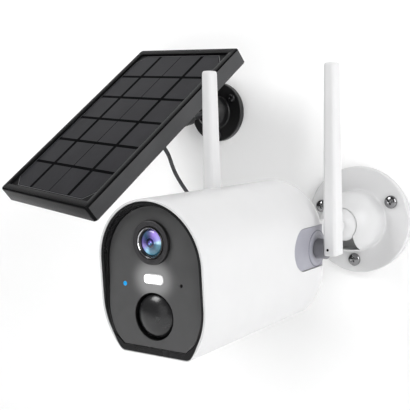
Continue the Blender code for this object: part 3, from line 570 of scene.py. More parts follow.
# ------------------------------------------------------------------ camera outline, finely divided
def outline(d):
    """The body outline set in by d: (x, z) points, anticlockwise from the underside's middle."""
    fil = max(CHIN_FILLET - d, 0.8)
    r = CHIN_R - d
    zb = BOTTOM_Z + d
    cz = zb + fil
    cx = -CHIN_X + math.sqrt((r - fil) ** 2 - (cz - CHIN_Z) ** 2)
    joint = math.atan2(cz - CHIN_Z, cx + CHIN_X)
    half = [(cx * k / 6, zb) for k in range(6)]
    for k in range(11):
        t = -math.pi / 2 + (joint + math.pi / 2) * k / 10
        half.append((cx + fil * math.cos(t), cz + fil * math.sin(t)))
    for k in range(1, 19):
        t = joint * (1 - k / 18)
        half.append((-CHIN_X + r * math.cos(t), CHIN_Z + r * math.sin(t)))
    for k in range(1, 6):
        half.append((HALF_W - d, CHIN_Z + (ARCH_Z - CHIN_Z) * k / 6))
    half.append((HALF_W - d, ARCH_Z))
    for k in range(1, 33):
        t = math.pi / 2 * k / 32
        half.append(((HALF_W - d) * math.cos(t), ARCH_Z + (HALF_W - d) * math.sin(t)))
    half[-1] = (0.0, half[-1][1])
    return half + [(-x, z) for x, z in reversed(half[1:-1])]


OUT0, OUT3 = outline(0.0), outline(3.6)


def rim(z):
    return RIM_Y + RIM_LEAN * z


def face(z):
    return FACE_Y + FACE_LEAN * z


def ring(d, y, shift=0.0):
    """Outline ring set in by d, a number or a function of height; y is a number or a function of height."""
    if not callable(d) and not callable(y) and d > 3.6:
        return [(x, y, z) for x, z in outline(d)]
    pts = []
    for (xa, za), (xb, zb) in zip(OUT0, OUT3):
        k = (d(za) if callable(d) else d) / 3.6
        x, z = xa + (xb - xa) * k, za + (zb - za) * k
        pts.append((x, (y(z) if callable(y) else y) + shift, z))
    return pts


def ease(z, lo, hi):
    k = min(max((z - lo) / (hi - lo), 0), 1)
    return k * k * (3 - 2 * k)


def hood_in(z):
    return 2.4 + 1.0 * ease(z, BOTTOM_Z + 6, BOTTOM_Z + 40) + 1.3 * (1 - ease(z, BOTTOM_Z + 1.0, BOTTOM_Z + 8.0))


def lip(z):
    """Width of the white rim: 1.25 mm round the arch, a fine line at the chin."""
    return 0.45 + 0.8 * ease(z, BOTTOM_Z + 1.0, BOTTOM_Z + 9.0)


# housing shell
bm = bmesh.new()
rings = [ring(lambda z: lip(z) + 0.05, rim, 0.9), ring(lip, rim, 0.35), ring(lambda z: lip(z) - 0.12, rim, 0.06),
         ring(lambda z: 0.30 if lip(z) > 0.6 else 0.22, rim, 0.0), ring(0.12, rim, 0.10), ring(0.03, rim, 0.30), ring(0.0, rim, 0.7)]
y0 = -246.0
n_long = 13
for k in range(n_long + 1):
    rings.append(ring(0.0, y0 + (REAR_Y - REAR_R - y0) * k / n_long))
for k in range(1, 15):
    t = math.radians(90 * k / 14)
    rings.append(ring(REAR_R * (1 - math.cos(t)), REAR_Y - REAR_R + REAR_R * math.sin(t)))
rings.append([(x, REAR_Y, z) for x, z in outline(12.8)])
inner = []
ri = REAR_R - WALL_T
for k in range(8, -1, -1):
    t = math.radians(90 * k / 8)
    inner.append(ring(WALL_T + ri * (1 - math.cos(t)), REAR_Y - REAR_R + ri * math.sin(t)))
inner += [ring(WALL_T, -238.0), ring(lambda z: lip(z) + 0.05, -239.0)]
loft(bm, rings[::-1] + inner[::-1])
shell = mesh_object("body_shell", bm, WHITE)


def hub_outline(grow, n=28):
    r = 12.0 + grow
    pts = [(-127.5 + grow, 1.0 - r), (-127.5 + grow, 1.0 + r)]
    for k in range(n + 1):
        t = math.radians(90 + 180 * k / n)
        pts.append((-151.0 + r * math.cos(t), 1.0 + r * math.sin(t)))
    return pts


cutters = [tool("c_insert", [(0, -8), (6.8, -8), (6.8, 4), (0, 4)], at(0, REAR_Y, 0, TO_Y))]
bm = bmesh.new()
loft(bm, [[(x, y, z + PORT_Z) for x, z in round_rect(10.4, 5.4, 2.4)] for y in (REAR_Y - 8, REAR_Y + 3)])
cutters.append(mesh_object("c_port", bm, None))
bm = bmesh.new()
loft(bm, [[(x, y - 186.3, z) for x, y in round_rect(19.2, 35.2, 3.0)] for z in (BOTTOM_Z - 3, BOTTOM_Z + 5)])
cutters.append(mesh_object("c_service", bm, None))
for s in (-1, 1):
    bm = bmesh.new()
    loft(bm, [[(s * x, y, z) for y, z in hub_outline(0.25)] for x in (26.0, 36.0)])
    cutters.append(mesh_object("c_hub%d" % s, bm, None))
carve(shell, cutters)
shade(shell, 32, weighted=True)
put(shell, "camera", "housing_shell")

# side patches with a stepped boss round each antenna hub
for s, side in ((-1, "left"), (1, "right")):
    bm = bmesh.new()
    loft(bm, [[(s * x, y, z) for y, z in hub_outline(g)] for x, g in ((29.4, 0.0), (31.0, 0.0), (31.2, -0.08), (31.3, -0.3))])
    plate = mesh_object("side_patch_" + side, bm, LAV)
    turn = Matrix.Rotation(math.radians(90 * s), 4, "Y")
    # a flat raised land, a fine groove round it and a second, lower land round the hub
    bossp = rounded([(2.4, 30.0), (10.2, 30.0), (10.2, 31.45), (9.95, 31.62), (8.2, 31.66), (8.0, 31.5), (7.2, 31.35),
                     (2.4, 31.3)], 0.1, 3)
    boss = turned("boss", bossp, LAV, at(0, HUB_Y, HUB_Z, turn), 96, closed=True, angle=40)
    edge_ = turned("boss_edge", [(10.2, 30.6), (10.75, 30.6), (10.75, 31.34), (10.2, 31.34)], GROOVE,
                   at(0, HUB_Y, HUB_Z, turn), 96, closed=True)
    boss = join([boss, edge_], "boss")
    carve(plate, [tool("c_pin%d" % s, [(0, 20), (2.4, 20), (2.4, 40), (0, 40)], at(0, HUB_Y, HUB_Z, turn), 32)])
    shade(plate, 35, weighted=True)
    plate = join([plate, boss], "side_patch_%s_boss" % side)
    put(plate, "camera", "hub_plate_" + side)

# front hood: black, stepped on its inner wall, a dark strip at the chin
bm = bmesh.new()
edge = lambda z: lip(z) + 0.12


def wide(z):
    return hood_in(z) - 0.62 * ease(z, BOTTOM_Z + 3, BOTTOM_Z + 14)


def mid(z):
    return rim(z) + 0.52 * (face(z) - rim(z))


loft(bm, [ring(edge, -239.4), ring(edge, rim, 0.25), ring(lambda z: edge(z) + 0.14, rim, 0.08),
          ring(lambda z: 0.5 * (edge(z) + wide(z)), rim, 0.05),
          ring(lambda z: wide(z) - 0.12, rim, 0.10), ring(wide, rim, 0.28), ring(wide, mid),
          ring(lambda z: wide(z) + 0.12 * ease(z, BOTTOM_Z + 3, BOTTOM_Z + 14), mid, 0.12),
          ring(lambda z: hood_in(z) + 0.10, mid, 0.16), ring(lambda z: hood_in(z) + 0.22, mid, 0.34),
          ring(lambda z: hood_in(z) + 0.25, face, 0.7), ring(lambda z: hood_in(z) + 0.25, -239.4)], closed=True)
hood = mesh_object("hood_lining", bm, HOOD)
shade(hood, 40)
put(hood, "camera", "front_hood")

# fascia plate
bm = bmesh.new()
loft(bm, [ring(lambda z: hood_in(z) + 0.75, face, 0.0), ring(lambda z: hood_in(z) + 0.52, face, 0.05),
          ring(lambda z: hood_in(z) + 0.38, face, 0.22), ring(lambda z: hood_in(z) + 0.34, face, 2.6)])
fascia = mesh_object("fascia_plate", bm, FASCIA_PAINTED_GLOW)


def front_tool(name, r, x, z, segs=64):
    return tool(name, [(0, -8), (r, -8), (r, 8), (0, 8)], at(x, face(z), z, TO_Y), segs)


cutters = [front_tool("c_lens", 8.6, 0, LENS_Z, 96), front_tool("c_pir", 11.9, 0, PIR_Z, 96),
           front_tool("c_status", 1.25, STATUS_X, STATUS_Z, 24), front_tool("c_mic", 0.95, MIC_X, MIC_Z, 24)]
bm = bmesh.new()
loft(bm, [[(x, y, z + LIGHT_Z) for x, z in round_rect(12.4, 5.4, 2.2)] for y in (face(0) - 8, face(0) + 8)])
cutters.append(mesh_object("c_light", bm, None))
carve(fascia, cutters)
soften(fascia, 0.12, 2, 40)
shade(fascia, 40, weighted=True)
put(fascia, "camera", "fascia")

# dark well behind the sensor dome's opening, so that no light shows through
bm = bmesh.new()
lathe(bm, [(11.75, 0.4), (12.3, 0.4), (12.3, 6.4), (11.75, 6.4)], 72, at(0, face(PIR_Z), PIR_Z, TO_Y), closed=True)
well = mesh_object("sensor_well", bm, BLACK_PARTS_AND_BEZEL_SHADE)
shade(well)
put(well, "camera")

# lens group
ly = face(LENS_Z)
seat = at(0, 0, LENS_Z, TO_Y)
prof = rounded([(8.1, ly - 0.6), (11.1, ly - 0.6), (10.75, ly - 2.05), (10.5, ly - 2.2), (8.35, ly - 2.2), (8.1, ly - 1.9)],
               [0, 0.0, 0.12, 0.1], 3)
# outward side gets a blacker copy of the bezel plastic: painted shade on that side
bands = []
for a, b in list(zip(prof, prof[1:])) + [(prof[-1], prof[0])]:
    bands.append(1 if min(a[0], b[0]) > 10.7 else 0)
bezel = turned("lens_bezel_ring", prof, [BEZEL, BLACK_PARTS_AND_BEZEL_SHADE], seat, 96, closed=True, bands=bands, angle=30)
put(bezel, "camera", "lens_bezel")
prof = rounded([(7.0, ly + 1.4), (7.8, ly + 1.4), (7.8, ly - 2.25), (7.55, ly - 2.6), (7.3, ly - 2.6), (7.0, ly - 2.2)],
               [0, 0.1, 0.1, 0.1], 3)
# only the ring's fine inner lip is bright
bands = [0 if max(a[0], b[0]) < 7.45 else 1 for a, b in list(zip(prof, prof[1:])) + [(prof[-1], prof[0])]]
put(turned("lens_chrome_ring", prof, [CHROME, BLACK_PARTS_AND_BEZEL_SHADE], seat, 96, closed=True, bands=bands), "camera", "lens_trim_ring")
# stepped black mouth between chrome ring and glass
put(turned("lens_mouth", rounded([(6.35, ly + 1.0), (7.0, ly + 1.0), (7.0, ly - 1.75), (6.75, ly - 1.95), (6.4, ly - 1.2),
                                  (6.2, ly - 0.6)], 0.06, 2), BLACK_PARTS_AND_BEZEL_SHADE, seat, 96, closed=True), "camera")
prof = [(0, ly + 2.6), (6.2, ly + 2.6), (6.2, ly - 0.55)]
prof += [(6.2 * math.cos(math.radians(a)), ly - 0.55 - 1.55 * math.sin(math.radians(a))) for a in range(6, 90, 6)]
prof += [(0, ly - 2.1)]
# the front glass carries painted reflections and painted highlights
put(turned("lens_front_glass", prof, LENS, seat, 96), "camera", "lens_glass")
prof = rounded([(0, ly + 20), (6.0, ly + 20), (6.0, ly + 12), (8.2, ly + 12), (8.2, ly + 1.9), (7.1, ly + 1.9), (7.1, ly + 3.0),
                (0, ly + 3.0)], 0.2, 2)
put(turned("lens_barrel_body", prof, BLACKP, seat, 64), "camera", "lens_barrel")

# spot light: clear window with two lit emitters
bm = bmesh.new()
loft(bm, [[(x, y, z + LIGHT_Z) for x, z in round_rect(w, h, r)]
          for w, h, r, y in ((11.8, 4.8, 1.9, face(0) + 2.3), (11.8, 4.8, 1.9, face(0) - 0.05),
                             (11.6, 4.6, 1.8, face(0) - 0.2), (11.2, 4.2, 1.6, face(0) - 0.26))])
win = mesh_object("light_window_body", bm, WINDOW)
shade(win, 50)
ems = [win]
for s in (-1, 1):
    bm = bmesh.new()
    loft(bm, [[(x + s * 2.75, y, z + LIGHT_Z) for x, z in round_rect(w, h, r)]
              for w, h, r, y in ((4.6, 3.6, 1.0, face(0) - 0.1), (4.6, 3.6, 1.0, face(0) - 0.36),
                                 (4.2, 3.2, 0.9, face(0) - 0.44))])
    e = mesh_object("emitter%d" % s, bm, EMITTER)
    shade(e, 50)
    ems.append(e)
put(join(ems, "spot_light"), "camera", "light_window")
put(turned("status_light", [(0, 7.5), (0.95, 7.5), (1.15, 2.0), (1.15, 0.0), (1.0, -0.1), (0, -0.16)], STATUSM,
           at(STATUS_X, face(STATUS_Z), STATUS_Z, TO_Y), 32), "camera", "status_light_pipe")
put(turned("microphone_capsule", rounded([(0, 2.4), (0.9, 2.4), (2.2, 3.1), (2.2, 5.2), (0, 5.2)], 0.2, 2), BLACKP,
           at(MIC_X, face(MIC_Z), MIC_Z, TO_Y), 32), "camera", "microphone")

# movement sensor dome
py = face(PIR_Z)
prof = [(0, py - 1.8)]
for k in range(1, 19):
    t = math.radians(90 * (1 - k / 18))
    prof.append((11.3 * math.cos(t), py + 3.4 - 5.2 * math.sin(t)))
prof += [(11.5, py + 3.5), (11.5, py + 4.6), (10.4, py + 4.6)]
for k in range(1, 9):
    t = math.radians(90 * k / 8)
    prof.append((10.4 * math.cos(t), py + 4.0 - 4.8 * math.sin(t)))
prof[-1] = (0, prof[-1][1])
put(turned("sensor_dome", prof, PIRM, at(0, 0, PIR_Z, TO_Y), 96, angle=50), "camera", "pir_dome")

# service cover with grip lines, power button
bm = bmesh.new()
loft(bm, [[(x, y - 186.3, z) for x, y in round_rect(18.0 - 2 * i, 34.4 - 2 * i, 2.6 - i * 0.6)]
          for z, i in ((-38.1, 0.0), (-39.35, 0.0), (-39.62, 0.1), (-39.82, 0.32), (-39.9, 0.6))])
cover = mesh_object("service_cover_skin", bm, RUB)
shade(cover, 40)
parts = [cover]
for k in range(3):
    bm = bmesh.new()
    loft(bm, [[(x, y - 199.2 + 1.9 * k, z) for x, y in round_rect(9.0 - 2 * i, 0.9 - i, 0.4 - 0.3 * i, 4)]
              for z, i in ((-39.8, 0.0), (-40.15, 0.0), (-40.3, 0.25))])
    rib = mesh_object("rib%d" % k, bm, RUB)
    shade(rib, 50)
    parts.append(rib)
put(join(parts, "service_cover_ribbed"), "service_door", "service_cover")
prof = rounded([(0, -37.6), (2.6, -37.6), (2.6, -33.6), (1.2, -33.0), (1.2, -19.0), (0, -19.0)], 0.35, 3)
put(turned("power_button_cap", prof, BLACKP, at(0, -180.0, 0), 48), "button", "power_button")

# antennas: rounded blades with a moulded hub and a pin hole
for s, side in ((-1, "left"), (1, "right")):
    def blade(z, wx, wy, r):
        return [(s * ANTENNA_X + x, HUB_Y + y, z) for x, y in round_rect(wx, wy, r, 7)]
    rows = [blade(ANTENNA_FOOT, 6.2, 9.6, 1.3), blade(ANTENNA_FOOT + 0.15, 7.0, 10.4, 1.6),
            blade(ANTENNA_FOOT + 0.45, 7.7, 11.1, 1.8), blade(ANTENNA_FOOT + 1.0, 8.0, 11.4, 1.9)]
    for k in range(9):
        f = k / 8
        rows.append(blade(12.0 + (ANTENNA_TOP - 2.2 - 12.0) * f, 8.0 - 1.4 * f, 11.4 - 1.8 * f, 2.0))
    rows += [blade(ANTENNA_TOP - 1.1, 6.4, 9.4, 2.0), blade(ANTENNA_TOP - 0.45, 5.8, 8.8, 1.9),
             blade(ANTENNA_TOP - 0.1, 5.0, 8.0, 1.7), blade(ANTENNA_TOP, 4.2, 7.2, 1.5)]
    bm = bmesh.new()
    loft(bm, rows)
    ant = mesh_object("antenna_blade_" + side, bm, ANT)
    turn = Matrix.Rotation(math.radians(90 * s), 4, "Y")
    PX, PZ = s * ANTENNA_X - 0.9 * s, 0.0
    hole = tool("c_pinhole", [(0, -4), (0.86, -4), (0.86, 1.6), (0, 1.6)],
                at(PX, HUB_Y - 5.7, PZ, TO_Y), 28)
    hole2 = tool("c_pinhole2", [(0, -4), (0.86, -4), (0.86, 1.6), (0, 1.6)],
                 at(PX, HUB_Y + 5.7, PZ, AWAY), 28)
    carve(ant, [hole, hole2])
    shade(ant, 35, weighted=True)
    dark = [turned("hubdrum" + side, rounded([(0, 31.8), (5.8, 31.8), (5.8, 37.9), (0, 37.9)], [0.35, 0], 3), HUBG,
                   at(0, HUB_Y, HUB_Z, turn), 72)]
    # near-black plugs inside the pin holes: painted shade in the holes
    for sy, tm in ((-5.7, TO_Y), (5.7, AWAY)):
        dark.append(turned("pin_shade_plug%s%.0f" % (side, sy), [(0, 0.25), (0.84, 0.25), (0.84, 1.4), (0, 1.4)], PIN_HOLE_SHADE,
                           at(PX, HUB_Y + sy, PZ, tm), 24))
    ant = join([ant] + dark, "antenna_%s_moulding" % side)
    put(ant, "antenna_%s_body" % side, "antenna_" + side)

# ------------------------------------------------------------------ camera wall mount
BASE_R, BASE_T, DOME_R, DOME_T = 39.3, 6.0, 22.0, 15.7
BALL_R, BALL_T, SEAT_R, CAVITY_R = 12.2, 29.7, 12.55, 14.05
MOUTH_R, LIP_R, LIP_T = 12.0, 11.86, 33.8
SLOT_HALF, SLOT_Z, SLOT_T = 9.0, -19.5, 13.0
SCREW_CIRCLE, SCREW_ANGLES = 29.8, (28.5, 162.0, 266.0)


def socket(base_r, base_t, dome_r, dome_t, mouth_r, lip_r, lip_t, ball_t, cav_r, root_r, seat_r=None, edge_r=0.9, n=18):
    """Half section of a wall base: round-edged disc, fillet up to the dome, mouth and round socket."""
    prof = [(0, 0), (base_r - 0.25, 0), (base_r, 0.25)]
    prof += arc(base_r - edge_r, base_t - edge_r, edge_r, 0, 90, 6)
    fr = root_r - dome_r
    for a in range(0, 91, 10):
        t = math.radians(a)
        prof.append((root_r - fr * math.sin(t), base_t + fr * (1 - math.cos(t))))
    a1 = math.acos((mouth_r + 0.12) / dome_r)
    for k in range(n + 1):
        a = a1 * k / n
        prof.append((dome_r * math.cos(a), dome_t + dome_r * math.sin(a)))
    prof.append((mouth_r, dome_t + dome_r * math.sin(a1) - 0.06))
    prof.append((lip_r, lip_t))
    s0 = math.asin((lip_t - 0.9 - ball_t) / cav_r)
    if seat_r:
        for k in range(7):
            a = 0.24 * (1 - k / 6)
            prof.append((seat_r * math.cos(a), ball_t + seat_r * math.sin(a)))
        prof.append((seat_r, ball_t - 2.2))
        s0 = math.asin(-2.2 / cav_r)
    for k in range(n + 1):
        a = s0 + (-math.pi / 2 - s0) * k / n
        prof.append((cav_r * math.cos(a), ball_t + cav_r * math.sin(a)))
    prof[-1] = (0, prof[-1][1])
    return prof


def cross_screw(name, x, z, r_head, seat_t, crown, shank, mat, wallwards=0.4):
    """Round-head screw with a cross recess, its axis along Y."""
    m = at(x, 0, z, AWAY)
    prof = [(0, wallwards), (shank, wallwards), (shank, seat_t), (r_head, seat_t), (r_head, seat_t + 0.25)]
    for k in range(1, 11):
        t = math.radians(90 * k / 10)
        prof.append((r_head * math.cos(t), seat_t + 0.25 + (crown - 0.25) * math.sin(t)))
    prof[-1] = (0, prof[-1][1])
    bm = bmesh.new()
    lathe(bm, prof, 64, m)
    ob = mesh_object(name, bm, mat)
    spin = m @ Matrix.Rotation(math.radians(20), 4, "Z")
    w, L = r_head * 0.13, r_head * 0.56
    cs = []
    for k in (0, 1):
        mm = spin @ Matrix.Rotation(math.radians(90 * k), 4, "Z")
        bm = bmesh.new()
        loft(bm, [[mm @ Vector(p) for p in ((-a, -b, t), (a, -b, t), (a, b, t), (-a, b, t))]
                  for a, b, t in ((L * 0.45, w * 0.6, seat_t + crown - 1.3), (L, w, seat_t + crown + 1.0))])
        cs.append(mesh_object("%s_cut%d" % (name, k), bm, None))
    carve(ob, cs)
    soften(ob, 0.05, 1, 40)
    shade(ob, 40)
    return ob


base = turned("wall_base", socket(BASE_R, BASE_T, DOME_R, DOME_T, MOUTH_R, LIP_R, LIP_T, BALL_T, CAVITY_R, 23.6, SEAT_R), BASEM,
              AWAY, 160)
bm = bmesh.new()
loft(bm, [[(x, y, z + SLOT_Z / 2) for x, z in round_rect(2 * SLOT_HALF, -SLOT_Z, 0.5)] for y in (-50.0, -SLOT_T)])
cutters = [mesh_object("c_slot", bm, None)]
for n, deg in enumerate(SCREW_ANGLES, 1):
    x, z = SCREW_CIRCLE * math.cos(math.radians(deg)), SCREW_CIRCLE * math.sin(math.radians(deg))
    cutters.append(tool("c_bs%d" % n, [(0, -2), (2.4, -2), (2.4, 12), (0, 12)], at(x, 0, z, AWAY), 32))
carve(base, cutters)
shade(base, 35, weighted=True)
put(base, "root", "camera_base")
for n, deg in enumerate(SCREW_ANGLES, 1):
    x, z = SCREW_CIRCLE * math.cos(math.radians(deg)), SCREW_CIRCLE * math.sin(math.radians(deg))
    put(cross_screw("wall_screw_%d" % n, x, z, 4.7, 6.3, 2.7, 2.0, SCREW), "root", "camera_base_screw_%d" % n)

prof = []
for k in range(17):
    a = math.radians(-90 + 57 * k / 16)
    prof.append((13.7 * math.cos(a), BALL_T + 13.7 * math.sin(a)))
prof[0] = (0, prof[0][1])
for k in range(16, -1, -1):
    a = math.radians(-90 + 57 * k / 16)
    prof.append((12.5 * math.cos(a), BALL_T + 12.5 * math.sin(a)))
prof[-1] = (0, prof[-1][1])
put(turned("ball_liner", prof, NYL, AWAY, 72), "camera_swivel", "camera_cup")


def stud(ball_r, neck_r, far, n=22):
    prof = [(0, -ball_r)]
    end = math.asin(math.sqrt(ball_r ** 2 - neck_r ** 2) / ball_r)
    for k in range(1, n + 1):
        a = -math.pi / 2 + (end + math.pi / 2) * k / n
        prof.append((ball_r * math.cos(a), ball_r * math.sin(a)))
    return prof + [(neck_r, far - 0.5), (neck_r - 0.5, far), (0, far)]


put(turned("ball_stud", stud(BALL_R, 3.2, 27.3, 44), WHITE_ARM, at(0, -BALL_T, 0, AWAY), 128), "camera_ball", "camera_ball_stud")
prof = rounded([(0, 58), (3.6, 58), (3.6, 42.3), (6.2, 41.3), (6.8, 44.5), (8.2, 112.0), (12.0, 115.4), (12.4, 116.2), (12.4, 118.4),
                (12.0, 118.9), (3.2, 118.9), (3.2, 127), (0, 127)], [0, 0.2, 0.3, 0.8, 2.5, 0.8, 0.4, 0.4, 0.3, 0, 0.3], 5)
put(turned("arm_tube", prof, WHITE_ARM, AWAY, 72), "camera", "camera_arm")
# knurled lock ring with softened flutes
bm = bmesh.new()
rows = []
for y, inset in ((-110.5, 0.6), (-110.2, 0.15), (-109.8, 0.0), (-104.7, 0.0), (-104.3, 0.15), (-104.0, 0.6)):
    row = []
    for k in range(144):
        t = 2 * math.pi * k / 144
        r = 12.35 + 0.25 * math.cos(24 * t) - inset
        row.append((r * math.cos(t), y, r * math.sin(t)))
    rows.append(row)
for y in (-104.0, -110.5):
    rows.append([(8.8 * math.cos(2 * math.pi * k / 144), y, 8.8 * math.sin(2 * math.pi * k / 144)) for k in range(144)])
loft(bm, rows, closed=True)
lock = mesh_object("lock_ring_fluted", bm, WHITE_ARM)
shade(lock, 50)
put(lock, "lock_ring", "camera_lock_ring")

# ------------------------------------------------------------------ solar panel
PANEL_W, PANEL_L, PANEL_T = 116.4, 168.0, 12.3
PANEL_CENTRE = (-145.19, -102.83, 78.51)
PIN_LOCAL = Vector((-1.5, 10.0, -21.8))
turn = Euler((math.radians(39.18), math.radians(3.92), math.radians(-14.04)), "XYZ").to_matrix()
PM = Matrix.Translation(Vector(PANEL_CENTRE)) @ turn.to_4x4()
pin = PM @ PIN_LOCAL
across = turn.col[0].normalized()
PBALL_T, PBASE_Z = 13.0, 82.6
rise = Vector((0, -PBALL_T - pin.y, PBASE_Z - pin.z))
pball = Vector((pin.x - (rise.y * across.y + rise.z * across.z) / across.x, -PBALL_T, PBASE_Z))
back = (pball - pin).normalized()
up = across.cross(back).normalized()
AM = Matrix.Translation(pball) @ Matrix((across, back, up)).transposed().to_4x4()
ARM_LEN = (pball - pin).length


def pring(d, z, r=3.0, n=8):
    """A rectangle ring of the panel, set in by d, at local height z."""
    return [PM @ Vector((x, y, z)) for x, y in round_rect(PANEL_W - 2 * d, PANEL_L - 2 * d, max(r - d, 0.5), n)]


bm = bmesh.new()
loft(bm, [pring(6.1, -0.55), pring(5.95, -0.12), pring(5.7, 0), pring(1.15, 0), pring(0.75, -0.08), pring(0.35, -0.36),
          pring(0.08, -0.8), pring(0, -1.3), pring(0, -6.0), pring(0, -11.6), pring(0.15, -12.05), pring(0.6, -12.3),
          pring(2.2, -12.3), pring(2.2, -5.2), pring(8.0, -5.2), pring(8.0, -3.7), pring(6.1, -3.7)], closed=True)
fr = mesh_object("panel_frame_moulding", bm, [FRAMEM, PAINTED_LIGHT_RAIL])
# the outer faces of the long sides get a paler, rougher grey than the rest of the frame: painted light on those sides
back_turn = turn.transposed()
for pl in fr.data.polygons:
    n_ = back_turn @ pl.normal
    c_ = back_turn @ (pl.center / MM - Vector(PANEL_CENTRE))
    if abs(n_.x) > 0.9 and abs(c_.x) > PANEL_W / 2 - 0.3 and c_.z < -1.0:
        pl.material_index = 1
shade(fr, 40)
put(fr, "panel", "panel_frame")

# laminate: film with a light border line, 4 x 6 dark cells, clipped block corners
lam = bmesh.new()
uv = lam.loops.layers.uv.new("Panel")


def quad(pts, z, mi):
    vs = [lam.verts.new(PM @ Vector((x, y, z))) for x, y in pts]
    f = lam.faces.new(vs)
    f.material_index = mi
    for l, (x, y) in zip(f.loops, pts):
        l[uv].uv = (x * MM, y * MM)
    return f


HW, HL = PANEL_W / 2 - 6.3, PANEL_L / 2 - 6.3
BW, BL = HW - 1.7, HL - 1.9             # block of cells
CLIP = 8.0


def clipped(hw, hl, c):
    return [(hw - c, -hl), (hw, -hl + c), (hw, hl - c), (hw - c, hl), (-hw + c, hl), (-hw, hl - c), (-hw, -hl + c), (-hw + c, -hl)]


def body_ring(pts, z):
    return [lam.verts.new(PM @ Vector((x, y, z))) for x, y in pts]


# film body: a closed slab, its top carrying the line and the block
rows = [body_ring(clipped(HW, HL, 0.5), -3.4), body_ring(clipped(HW, HL, 0.5), -1.26), body_ring(clipped(HW - 0.1, HL - 0.1, 0.5), -1.2),
        body_ring(clipped(BW + 0.75, BL + 0.75, CLIP), -1.2), body_ring(clipped(BW + 0.35, BL + 0.35, CLIP), -1.2),
        body_ring(clipped(BW + 0.0, BL + 0.0, CLIP), -1.2)]
band = [2, 2, 2, 3, 1]
for k, (a, b) in enumerate(zip(rows, rows[1:])):
    for i in range(8):
        j = (i + 1) % 8
        f = lam.faces.new((a[i], a[j], b[j], b[i]))
        f.material_index = band[k]
f = lam.faces.new(rows[-1])
f.material_index = 1
f = lam.faces.new(rows[0][::-1])
f.material_index = 2
# cells stand a hair above the dark sheet
xs = [-BW, -BW / 2, 0.0, BW / 2, BW]
ys = [-BL + 2 * BL * k / 6 for k in range(7)]
for i in range(4):
    for j in range(6):
        gx0 = 0.0 if i == 0 else (0.4 if i == 2 else 1.7)
        gx1 = 0.0 if i == 3 else (0.4 if i == 1 else 1.7)
        gy0, gy1 = (0.0 if j == 0 else 1.25), (0.0 if j == 5 else 1.25)
        x0, x1, ya, yb = xs[i] + gx0, xs[i + 1] - gx1, ys[j] + gy0, ys[j + 1] - gy1
        pts = [(x0, ya), (x1, ya), (x1, yb), (x0, yb)]
        if i == 0 and j == 0:
            pts = [(x0 + CLIP, ya), (x1, ya), (x1, yb), (x0, yb), (x0, ya + CLIP)]
        if i == 3 and j == 0:
            pts = [(x0, ya), (x1 - CLIP, ya), (x1, ya + CLIP), (x1, yb), (x0, yb)]
        if i == 3 and j == 5:
            pts = [(x0, ya), (x1, ya), (x1, yb - CLIP), (x1 - CLIP, yb), (x0, yb)]
        if i == 0 and j == 5:
            pts = [(x0, ya), (x1, ya), (x1, yb), (x0 + CLIP, yb), (x0, yb - CLIP)]
        quad(pts, -1.17, 0)
for v in lam.verts:
    v.co *= MM
me = bpy.data.meshes.new("panel_cells")
lam.to_mesh(me)
lam.free()
cells = bpy.data.objects.new("panel_cells", me)
COLL.objects.link(cells)
for m in (CELLM, GRIDM, FILM, LINE):
    me.materials.append(m)
put(cells, "panel", "panel_laminate")

# back: ribbed cover sheet, junction box with lid line, screws in the corners
bm = bmesh.new()
loft(bm, [pring(2.5, -10.2), pring(2.5, -11.9), pring(2.75, -12.12), pring(3.1, -12.2)])
cover = mesh_object("back_sheet", bm, MOUNTP)
shade(cover, 40)
bits = [cover]
for k in range(-3, 4):
    bm = bmesh.new()
    loft(bm, [[PM @ Vector((x + k * 0.0, y + k * 22.0, z)) for x, y in round_rect(PANEL_W - 22 - 2 * i, 2.2 - 2 * i, 0.7 - 0.6 * i, 3)]
              for z, i in ((-12.1, 0.0), (-12.38, 0.0), (-12.48, 0.2))])
    rib = mesh_object("bs_rib%d" % k, bm, MOUNTP)
    shade(rib, 50)
    bits.append(rib)
cover = join(bits, "back_sheet_ribbed")
put(cover, "panel", "panel_back_cover")

bm = bmesh.new()
loft(bm, [[PM @ Vector((x + 26.0, y + 4.0, z)) for x, y in round_rect(31.0 - 2 * i, 38.0 - 2 * i, 3.0 - 0.5 * i)]
          for z, i in ((-12.6, 0.0), (-16.4, 0.0), (-16.45, 0.25), (-16.85, 0.25), (-16.9, 0.0), (-19.4, 0.0), (-20.0, 0.12),
                       (-20.4, 0.45), (-20.6, 1.0))])
jb = mesh_object("jbox", bm, BLACKP)
shade(jb, 40)
bits = [jb]
for sx in (-1, 1):
    for sy in (-1, 1):
        m = PM @ at(26.0 + sx * 12.2, 4.0 + sy * 15.7, 0) @ Matrix.Rotation(math.pi, 4, "X")
        bits.append(turned("jbs%d%d" % (sx, sy), [(0, 20.0), (1.5, 20.0), (1.5, 20.8), (1.1, 21.05), (0.5, 21.05), (0.4, 20.7), (0, 20.7)],
                           BLKSTEEL, m, 32))
put(join(bits, "junction_box_body"), "panel", "junction_box")

# gland: threaded nut and ribbed tapered strain relief
GLAND = (19.0, 9.0)
g = PM @ at(GLAND[0], GLAND[1], 0) @ Matrix.Rotation(math.pi, 4, "X")
prof = [(0, 20.7), (3.5, 20.7), (3.6, 20.9), (3.6, 24.1), (3.3, 24.4)]
t0, t1 = 24.6, 34.2
for k in range(7):
    a = t0 + (t1 - t0) * k / 7
    b = t0 + (t1 - t0) * (k + 0.55) / 7
    ra = 3.0 - 0.95 * k / 7
    prof += [(ra, a), (ra, b), (ra - 0.35, b + 0.08), (ra - 0.4, a + (t1 - t0) / 7 - 0.06)]
prof += [(2.0, t1), (1.9, 34.4), (0, 34.4)]
put(turned("gland_ribbed", prof, RELIEF, g, 40, angle=30), "panel", "lead_gland")

